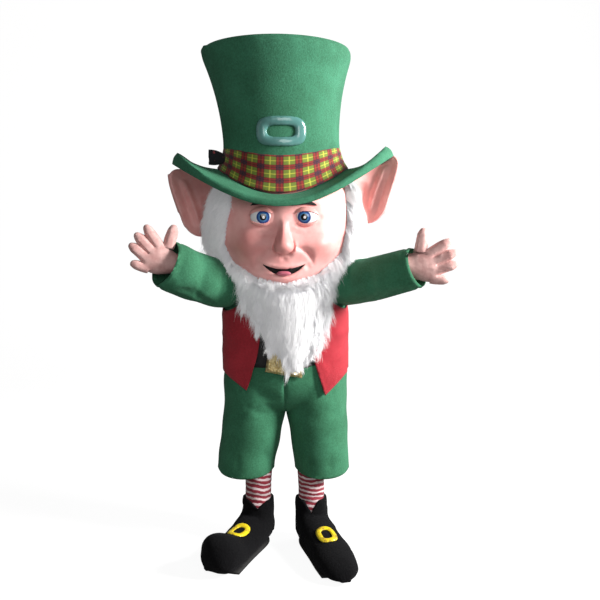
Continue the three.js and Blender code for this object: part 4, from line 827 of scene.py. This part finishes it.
# Brows, mouth and tongue: matt black cloth shapes on the skin, black mesh in the mouth to look out
# through, and a glossy pink tongue.
black = grained("matt_black", 800, (0.003, 0.003, 0.003), (0.012, 0.012, 0.012), 0.9, 0.0005)
for name in ("brow_right", "brow_left", "mouth_liner"):
    worn(rounded(name + "_cloth", name, 0.006, 6, keep=75), name, black)

tongue_pink = grained("tongue_pink", 120, (0.42, 0.09, 0.14), (0.58, 0.17, 0.22), 0.35, 0.0006)
worn(rounded("tongue_form", "tongue", 0.005, 8, keep=85), "tongue", tongue_pink)

# Eyes: glossy balls behind the face, painted with blue irises and a painted white highlight.
EYE = {"out": 0.084, "height": 1.402, "tall": 0.034, "gaze": -0.006, "drop": 0.002, "iris": 0.0245, "pupil": 0.0125}
PAINTED_GLINT = {"out": 0.002, "drop": 0.003, "half": 0.0045}
RIM_BLUR = 0.001


def painted_eye(name, side):
    """A glossy eye: white, a blue iris with a darker rim, a black pupil and a small painted white highlight."""
    paint = Paint(name)
    middle = (-side * EYE["out"], 0, -(EYE["height"] - SHOULDER_HEIGHT))
    across, _, height = paint.axes(paint.place(shift=middle))

    def far_from(out, up):
        return ((across - out) * (across - out) + (height + up) * (height + up)).maths("SQRT")

    gaze = side * EYE["gaze"]
    far = far_from(gaze, EYE["drop"])
    rays = paint.noise(160, 2, 0.5)
    # A small white highlight painted into the colour near the pupil, standing in for a reflection.
    painted_glint = far_from(gaze + PAINTED_GLINT["out"], PAINTED_GLINT["drop"])
    iris = paint.mixed((far / 0.024 + rays * 0.2).step(0.5, 1.0), (0.09, 0.30, 0.60), (0.015, 0.05, 0.22))
    white = paint.mixed(rays, (0.78, 0.80, 0.82), (0.86, 0.88, 0.90))
    rim = paint.mixed(far.step(EYE["iris"], EYE["iris"] + RIM_BLUR), iris, white)
    pupil = paint.mixed(far.step(EYE["pupil"], EYE["pupil"] + RIM_BLUR), (0.004, 0.004, 0.006), rim)
    return paint.finish(
        base_color=paint.mixed(painted_glint.step(PAINTED_GLINT["half"], PAINTED_GLINT["half"] + RIM_BLUR), (0.9, 0.9, 0.9), pupil),
        roughness=0.12,
        coat_weight=0.6,
        coat_roughness=0.05,
    )


for side_name, side in (("right", -1), ("left", 1)):
    low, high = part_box(f"eye_{side_name}")
    middle = (low + high) / 2
    bpy.ops.object.select_all(action="DESELECT")
    bpy.ops.mesh.primitive_uv_sphere_add(segments=48, ring_count=32, radius=1)
    eye = bpy.context.object
    eye.name = f"eye_{side_name}_ball"
    half = (high - low) / 2
    eye.data.transform(Matrix.Translation(middle) @ Matrix.Diagonal((half.x, half.y, EYE["tall"], 1)))
    worn(eye, f"eye_{side_name}", painted_eye(f"eye_paint_{side_name}", side))


# Eyelids: thin moulded rims, painted like the skin, that frame each eye above and below.
LID = {"grow": 1.07, "upper": 0.58, "lower": -0.70, "bow": 0.42, "thick": 0.0028, "front": 0.25}
for side_name, side in (("right", -1), ("left", 1)):
    low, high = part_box(f"eye_{side_name}")
    form = bmesh.new()
    bmesh.ops.create_uvsphere(form, u_segments=64, v_segments=48, radius=1)
    open_faces = []
    for face in form.faces:
        x, y, z = face.calc_center_median()
        edge_up, edge_down = LID["upper"] - LID["bow"] * x * x, LID["lower"] + LID["bow"] * x * x
        if edge_down < z < edge_up or y > LID["front"]:
            open_faces.append(face)
    bmesh.ops.delete(form, geom=open_faces, context="FACES")
    half = (high - low) / 2 * LID["grow"]
    bmesh.ops.transform(
        form, verts=form.verts,
        matrix=Matrix.Translation((low + high) / 2) @ Matrix.Diagonal((half.x, half.y, EYE["tall"] * LID["grow"], 1)),
    )
    bmesh.ops.solidify(form, geom=form.faces, thickness=-LID["thick"])
    bmesh.ops.recalc_face_normals(form, faces=form.faces)
    mesh = bpy.data.meshes.new(f"eyelids_{side_name}")
    form.to_mesh(mesh)
    form.free()
    lids = bpy.data.objects.new(f"eyelids_{side_name}", mesh)
    bpy.context.scene.collection.objects.link(lids)
    worn(lids, None, skin)


# Beard and back hair: long white fur cloth on a shaped backing, combed down in tufts.
def fur_backing(name):
    paint = Paint(name)
    streaks = paint.noise(60, 4, 0.7, paint.place(scale=(4, 4, 1)))
    return paint.finish(
        base_color=paint.mixed(streaks.step(0.25, 0.7), (0.86, 0.86, 0.87), (0.99, 0.99, 0.99)),
        roughness=0.9,
        sheen_weight=0.3,
        normal=paint.bump(streaks, 0.006),
    )


def fur_strands(name):
    paint = Paint(name)
    shade = paint.node("Attribute", {"attribute_name": "strand_tone_root_shade"}, out="Fac")
    return paint.finish(
        base_color=paint.mixed(shade, (0.70, 0.70, 0.73), (1.0, 1.0, 1.0)),
        roughness=0.7,
        sheen_weight=0.4,
        sheen_tint=(1, 1, 1),
        # A faint white glow: painted light that lifts the fur where it lies in shade.
        emission_color=(1, 1, 1),
        emission_strength=0.07,
    )


backing = fur_backing("fur_backing")
fibre = fur_strands("fur_fibre")


PILE = {
    "every": 15, "spread": 0.13, "stray": 0.08, "pull": 0.4, "tuft": (0.75, 1.2), "strand": (0.75, 1.15),
    "shorter": (1.0, 0.75, 0.55, 0.4), "wide": (0.0006, 0.0009), "arch": 0.06,
}


def fur(name, node, base, strands, length, comb, seed, covers, stray=0.010):
    """White pile: combed strands rooted on a backing, in tufts, that end near the node's own outline."""
    whole = copied_form("fur_limit", node, 0.03)
    limit = BVHTree.FromPolygons([v.co for v in whole.data.vertices], [p.vertices for p in whole.data.polygons])
    bpy.data.objects.remove(whole)
    faces = [p for p in base.data.polygons if covers(p.center, p.normal)]
    areas = np.array([p.area for p in faces])
    draw = np.random.default_rng(seed)
    chosen = draw.choice(len(faces), strands, p=areas / areas.sum())
    points = [v.co for v in base.data.vertices]
    roots, ways, normals = [], [], []
    for index in chosen:
        face = faces[index]
        a, b, c = (points[i] for i in face.vertices)
        u, v = draw.random(2).tolist()
        if u + v > 1:
            u, v = 1 - u, 1 - v
        roots.append(a + u * (b - a) + v * (c - a))
        normals.append(face.normal.copy())
        ways.append(comb(roots[-1], face.normal))
    tree = KDTree(len(roots) // PILE["every"] + 1)
    for k, i in enumerate(range(0, len(roots), PILE["every"])):
        tree.insert(roots[i], k)
    tree.balance()
    tufts = {}
    verts, quads, shades = [], [], []
    for i, (root, way, normal) in enumerate(zip(roots, ways, normals)):
        _, tuft, _ = tree.find(root)
        if tuft not in tufts:
            spread = Vector(draw.normal(0, PILE["spread"], 3))
            stretch, tone = float(draw.uniform(*PILE["tuft"])), float(draw.uniform(0, 1))
            tufts[tuft] = (roots[tuft * PILE["every"]], spread, stretch, tone)
        middle, spread, stretch, tone = tufts[tuft]
        long = float(length(root) * stretch * draw.uniform(*PILE["strand"]))
        lean = (way + spread + Vector(draw.normal(0, PILE["stray"], 3))).normalized()
        pull = (middle - root) * PILE["pull"]
        for share in PILE["shorter"]:
            tip = root + lean * long * share + pull * share
            nearest, out, _, _ = limit.find_nearest(tip)
            if (tip - nearest).dot(out) < stray * (0.4 + 0.6 * tone):
                break
        long *= share
        tip = root + lean * long + pull * share
        side = lean.cross(normal).normalized()
        wide = float(draw.uniform(*PILE["wide"]))
        start = len(verts)
        for place, width in ((0, 1.0), (0.55, 0.8)):
            spot = root.lerp(tip, place) + normal * (PILE["arch"] * long * math.sin(math.pi * place))
            verts += [spot - side * wide * width, spot + side * wide * width]
        verts.append(tip)
        quads += [(start, start + 1, start + 3, start + 2), (start + 2, start + 3, start + 4)]
        # Each strand's tone varies at random. Its root is painted darker as shade among the strands, and its tip is
        # lighter.
        light = 0.4 * tone + 0.6 * float(draw.uniform(0, 1))
        shades += [0.45 * light] * 2 + [0.2 + 0.6 * light] * 2 + [0.45 + 0.55 * light]
    mesh = bpy.data.meshes.new(name)
    mesh.from_pydata(verts, [], quads)
    mesh.attributes.new("strand_tone_root_shade", "FLOAT", "POINT").data.foreach_set("value", np.array(shades, np.float32))
    piece = bpy.data.objects.new(name, mesh)
    bpy.context.scene.collection.objects.link(piece)
    worn(piece, None, fibre)


def drawn_in(piece, depth, where):
    """A backing pulled in under its pile by a depth, where a test on place and normal says so."""
    points = points_of(piece)
    normals = np.array([v.normal for v in piece.data.vertices])
    share = np.array([where(Vector(p), Vector(n)) for p, n in zip(points, normals)])
    set_points(piece, points - normals * (depth * share)[:, None])


def beard_faces(place, normal):
    return normal.y < 0.35 and place.z < 0.30


def combed(aside, normal, lift):
    """Down and aside along the backing's surface, and a little off it."""
    way = Vector((aside, 0, -1))
    way -= normal * min(0.0, way.dot(normal))
    return (way.normalized() + normal * lift).normalized()


def beard_comb(place, normal):
    aside = place.x * (-0.5 if place.z < -0.12 else 1.1 if place.z < 0.10 else 0.3)
    return combed(aside, normal, 0.22)


def beard_length(place):
    return 0.060 if place.z > 0.05 else 0.085


FACE_EDGE = [(-0.206, 1.560), (-0.206, 1.450), (-0.226, 1.380), (-0.238, 1.296), (-0.204, 1.226), (-0.114, 1.168),
             (0.004, 1.142), (0.138, 1.180), (0.230, 1.262), (0.252, 1.380), (0.246, 1.560)]


SKIN_GAP = 0.003
skin_form = BVHTree.FromPolygons([v.co for v in head.data.vertices], [p.vertices for p in head.data.polygons])


def skin_at(x, z):
    """The place on the face's skin that lies straight ahead at x and z."""
    return skin_form.ray_cast(Vector((x, -1.0, z)), Vector((0, 1, 0)))[0]


def thinned_at_face(piece, reach):
    """The backing thins out to the skin along the open face, so the fur starts at the skin there."""
    points = points_of(piece)
    flat = np.stack([points[:, 0], points[:, 2] + SHOULDER_HEIGHT], 1)
    gap = np.full(len(points), 9.0)
    for a, b in zip(np.array(FACE_EDGE[:-1]), np.array(FACE_EDGE[1:])):
        along = np.clip(((flat - a) @ (b - a)) / ((b - a) @ (b - a)), 0, 1)
        gap = np.minimum(gap, np.hypot(*(flat - a - along[:, None] * (b - a)).T))
    for i in np.nonzero(gap < reach)[0]:
        x, y, z = points[i]
        struck = skin_at(x, z)
        if struck is not None and y < struck.y:
            share, over = gap[i] / reach, struck.y - SKIN_GAP
            points[i, 1] = over - max(0.0, over - y) * share * share * (3 - 2 * share)
    set_points(piece, points)


beard = rounded("beard_backing", "beard", 0.014, 10, keep=75)
drawn_in(beard, 0.012, lambda p, n: 1.0 if n.y < 0.3 else 0.3)
thinned_at_face(beard, 0.055)
worn(beard, "beard", backing)
hair = rounded("hair_backing", "hair_back", 0.016, 10, keep=75)
drawn_in(hair, 0.014, lambda p, n: 1.0 if n.y > -0.3 else 0.3)
worn(hair, "hair_back", backing)
STRANDS = 46000
CHIN = -0.10
fur("beard_fur", "beard", beard, STRANDS, beard_length, beard_comb, 71,
    lambda p, n: beard_faces(p, n) and p.z < CHIN)
fur("whisker_fur", "beard", beard, STRANDS, beard_length, beard_comb, 73,
    lambda p, n: beard_faces(p, n) and p.z >= CHIN, 0.026)
fur("hair_fur", "hair_back", hair, int(STRANDS * 0.8), lambda p: 0.065,
    lambda p, n: combed(0, n, 0.2), 72, lambda p, n: n.y > -0.2)

FRINGE = {"pitch": 0.010, "wide": 0.030, "off": 0.004, "centre": 0.10, "length": 0.055}


def fringe_base():
    """A strip along the open face, just over the skin, for the fur that starts there."""
    verts, faces, depth = [], [], -0.2
    for (x1, z1), (x2, z2) in zip(FACE_EDGE[:-1], FACE_EDGE[1:]):
        count = max(1, round(math.hypot(x2 - x1, z2 - z1) / FRINGE["pitch"]))
        for k in range(count):
            x, z = x1 + (x2 - x1) * k / count, z1 + (z2 - z1) * k / count - SHOULDER_HEIGHT
            out = Vector((x, 0, z - FRINGE["centre"])).normalized() * FRINGE["wide"]
            for place in (Vector((x, 0, z)) - out * 0.2, Vector((x, 0, z)) + out):
                struck = skin_at(place.x, place.z)
                depth = struck.y if struck is not None else depth
                verts.append((place.x, depth - FRINGE["off"], place.z))
    for k in range(0, len(verts) - 2, 2):
        faces += [(k, k + 1, k + 2), (k + 1, k + 3, k + 2)]
    mesh = bpy.data.meshes.new("fringe_strip")
    mesh.from_pydata(verts, [], faces)
    strip = bpy.data.objects.new("fringe_strip", mesh)
    bpy.context.scene.collection.objects.link(strip)
    return strip


def fringe_comb(place, normal):
    out = Vector((place.x, 0, place.z - FRINGE["centre"])).normalized()
    return Vector((out.x * 0.7, -0.30, out.z * 0.5 - 0.9)).normalized()


strip = fringe_base()
fur("fringe_fur", "beard", strip, int(STRANDS * 0.3), lambda p: FRINGE["length"], fringe_comb, 74,
    lambda p, n: True, 0.04)
bpy.data.objects.remove(strip)

# Hat: thick green felt, a flared crown with a turned tip and a padded brim curled up at the sides, a
# tartan band, its tied end, and a plastic buckle on the front.
felt = brushed_cloth("hat_felt", (0.018, 0.115, 0.055), (0.045, 0.225, 0.125), nap=0.0009, sheen=0.22)
for name, finest, passes in (("hat_crown", 0.014, 26), ("hat_brim", 0.012, 12), ("hat_top", 0.016, 10)):
    worn(rounded(name + "_felt", name, finest, passes, keep=60), name, felt)

# How many repeats of the check go round the band and up it, and where the band's edges lie above the
# floor, in front and at the sides.
TARTAN = {"u": 20, "v": 3.1}
BAND = {"middle": (-0.015, -0.015), "foot": (1.486, 1.603), "top": (1.643, 1.694)}


def tartan_cloth(name):
    """A plain woven check: lime squares on navy and maroon, between thin red and yellow lines."""
    paint = Paint(name)
    u, v, _ = paint.axes(paint.node("UVMap", {"uv_map": "weave"}))

    def lines(place, middle, half):
        gap = (place.maths("FRACT") - middle).maths("ABSOLUTE")
        return 1 - gap.step(half - 0.01, half + 0.05)

    tone = paint.noise(30, 3, 0.6)
    across, down = (lines(place, 0.5, 0.28) for place in (u, v))
    square, either = across * down, (across + down).maths("MINIMUM", 1.0)
    navy = paint.mixed(tone, (0.004, 0.005, 0.022), (0.022, 0.006, 0.022))
    maroon = paint.mixed(tone, (0.085, 0.008, 0.007), (0.17, 0.018, 0.012))
    lime = paint.mixed(tone, (0.115, 0.165, 0.014), (0.20, 0.26, 0.028))
    woven = paint.mixed(square, paint.mixed(either, navy, maroon), lime)
    red = sum((lines(place, middle, 0.020) for place in (u, v) for middle in (0.10, 0.90)), 0).maths("MINIMUM", 1.0)
    woven = paint.mixed(red * (0.16 + 0.55 * either) * (1 - square), woven, (0.36, 0.016, 0.012))
    yellow = sum((lines(place, 0.5, 0.008) for place in (u, v)), 0).maths("MINIMUM", 1.0)
    thin = paint.mixed(square, (0.60, 0.22, 0.02), (0.62, 0.60, 0.06))
    threads = (((u + v) * 60).maths("SINE")).step(-0.15, 0.15)
    fuzz = paint.noise(700, 3, 0.6)
    return paint.finish(
        base_color=paint.mixed(yellow * (0.25 + 0.6 * square), woven, thin),
        roughness=0.85,
        sheen_weight=0.2,
        normal=paint.bump(threads, 0.0003, paint.bump(fuzz, 0.0006)),
    )


tartan = tartan_cloth("tartan_weave")


def weave_map(piece, unwrap):
    """A UV map whose unit is one repeat of the check, worked out for each corner of the mesh."""
    layer = piece.data.uv_layers.new(name="weave")
    for polygon in piece.data.polygons:
        corners = [unwrap(piece.data.vertices[i].co) for i in polygon.vertices]
        base = corners[0][0]
        for loop, (u, v) in zip(polygon.loop_indices, corners):
            # Where the band closes behind, a face's corners stay on one side of the jump.
            layer.data[loop].uv = (u - TARTAN["u"] * round((u - base) / TARTAN["u"]), v)


def band_unwrap(point):
    angle = math.atan2(point.y - BAND["middle"][1], point.x - BAND["middle"][0])
    side = math.cos(angle) ** 2
    foot, top = (front + (aside - front) * side for front, aside in (BAND["foot"], BAND["top"]))
    height = point.z + SHOULDER_HEIGHT
    return angle / (2 * math.pi) * TARTAN["u"], (height - foot) / (top - foot) * TARTAN["v"]


def shaded_check(name):
    """The tied end: the check painted dark as shade, showing its dark ground with a few small red and pale marks."""
    paint = Paint(name)
    spots = paint.noise(42, 2, 0.5)
    tone = paint.noise(30, 3, 0.6)
    ground = paint.mixed(tone, (0.003, 0.004, 0.008), (0.010, 0.009, 0.014))
    marked = paint.mixed(spots.step(0.64, 0.70), ground, (0.30, 0.05, 0.06))
    return paint.finish(
        base_color=marked, roughness=0.85, sheen_weight=0.1, normal=paint.bump(paint.noise(700, 3, 0.6), 0.0006),
    )


band = rounded("hat_band_tartan", "hat_band", 0.010, 20, keep=60)
weave_map(band, band_unwrap)
worn(band, "hat_band", tartan)
# The tied end wears a darker copy of the check, painted shade where the knot sits in shadow.
bow = rounded("band_bow_tartan", "band_bow", 0.006, 8, keep=75)
worn(bow, "band_bow", shaded_check("shaded_check"))


def pale_plastic(name):
    paint = Paint(name)
    soft = paint.noise(20, 3, 0.5)
    return paint.finish(
        base_color=paint.mixed(soft, (0.060, 0.19, 0.17), (0.13, 0.31, 0.29)),
        roughness=0.2,
        coat_weight=0.5,
        coat_roughness=0.08,
        normal=paint.bump(soft, 0.0015),
    )


hat_buckle = rounded("hat_buckle_form", "hat_buckle", 0.007, 8, keep=75)
worn(hat_buckle, "hat_buckle", pale_plastic("pale_plastic"))
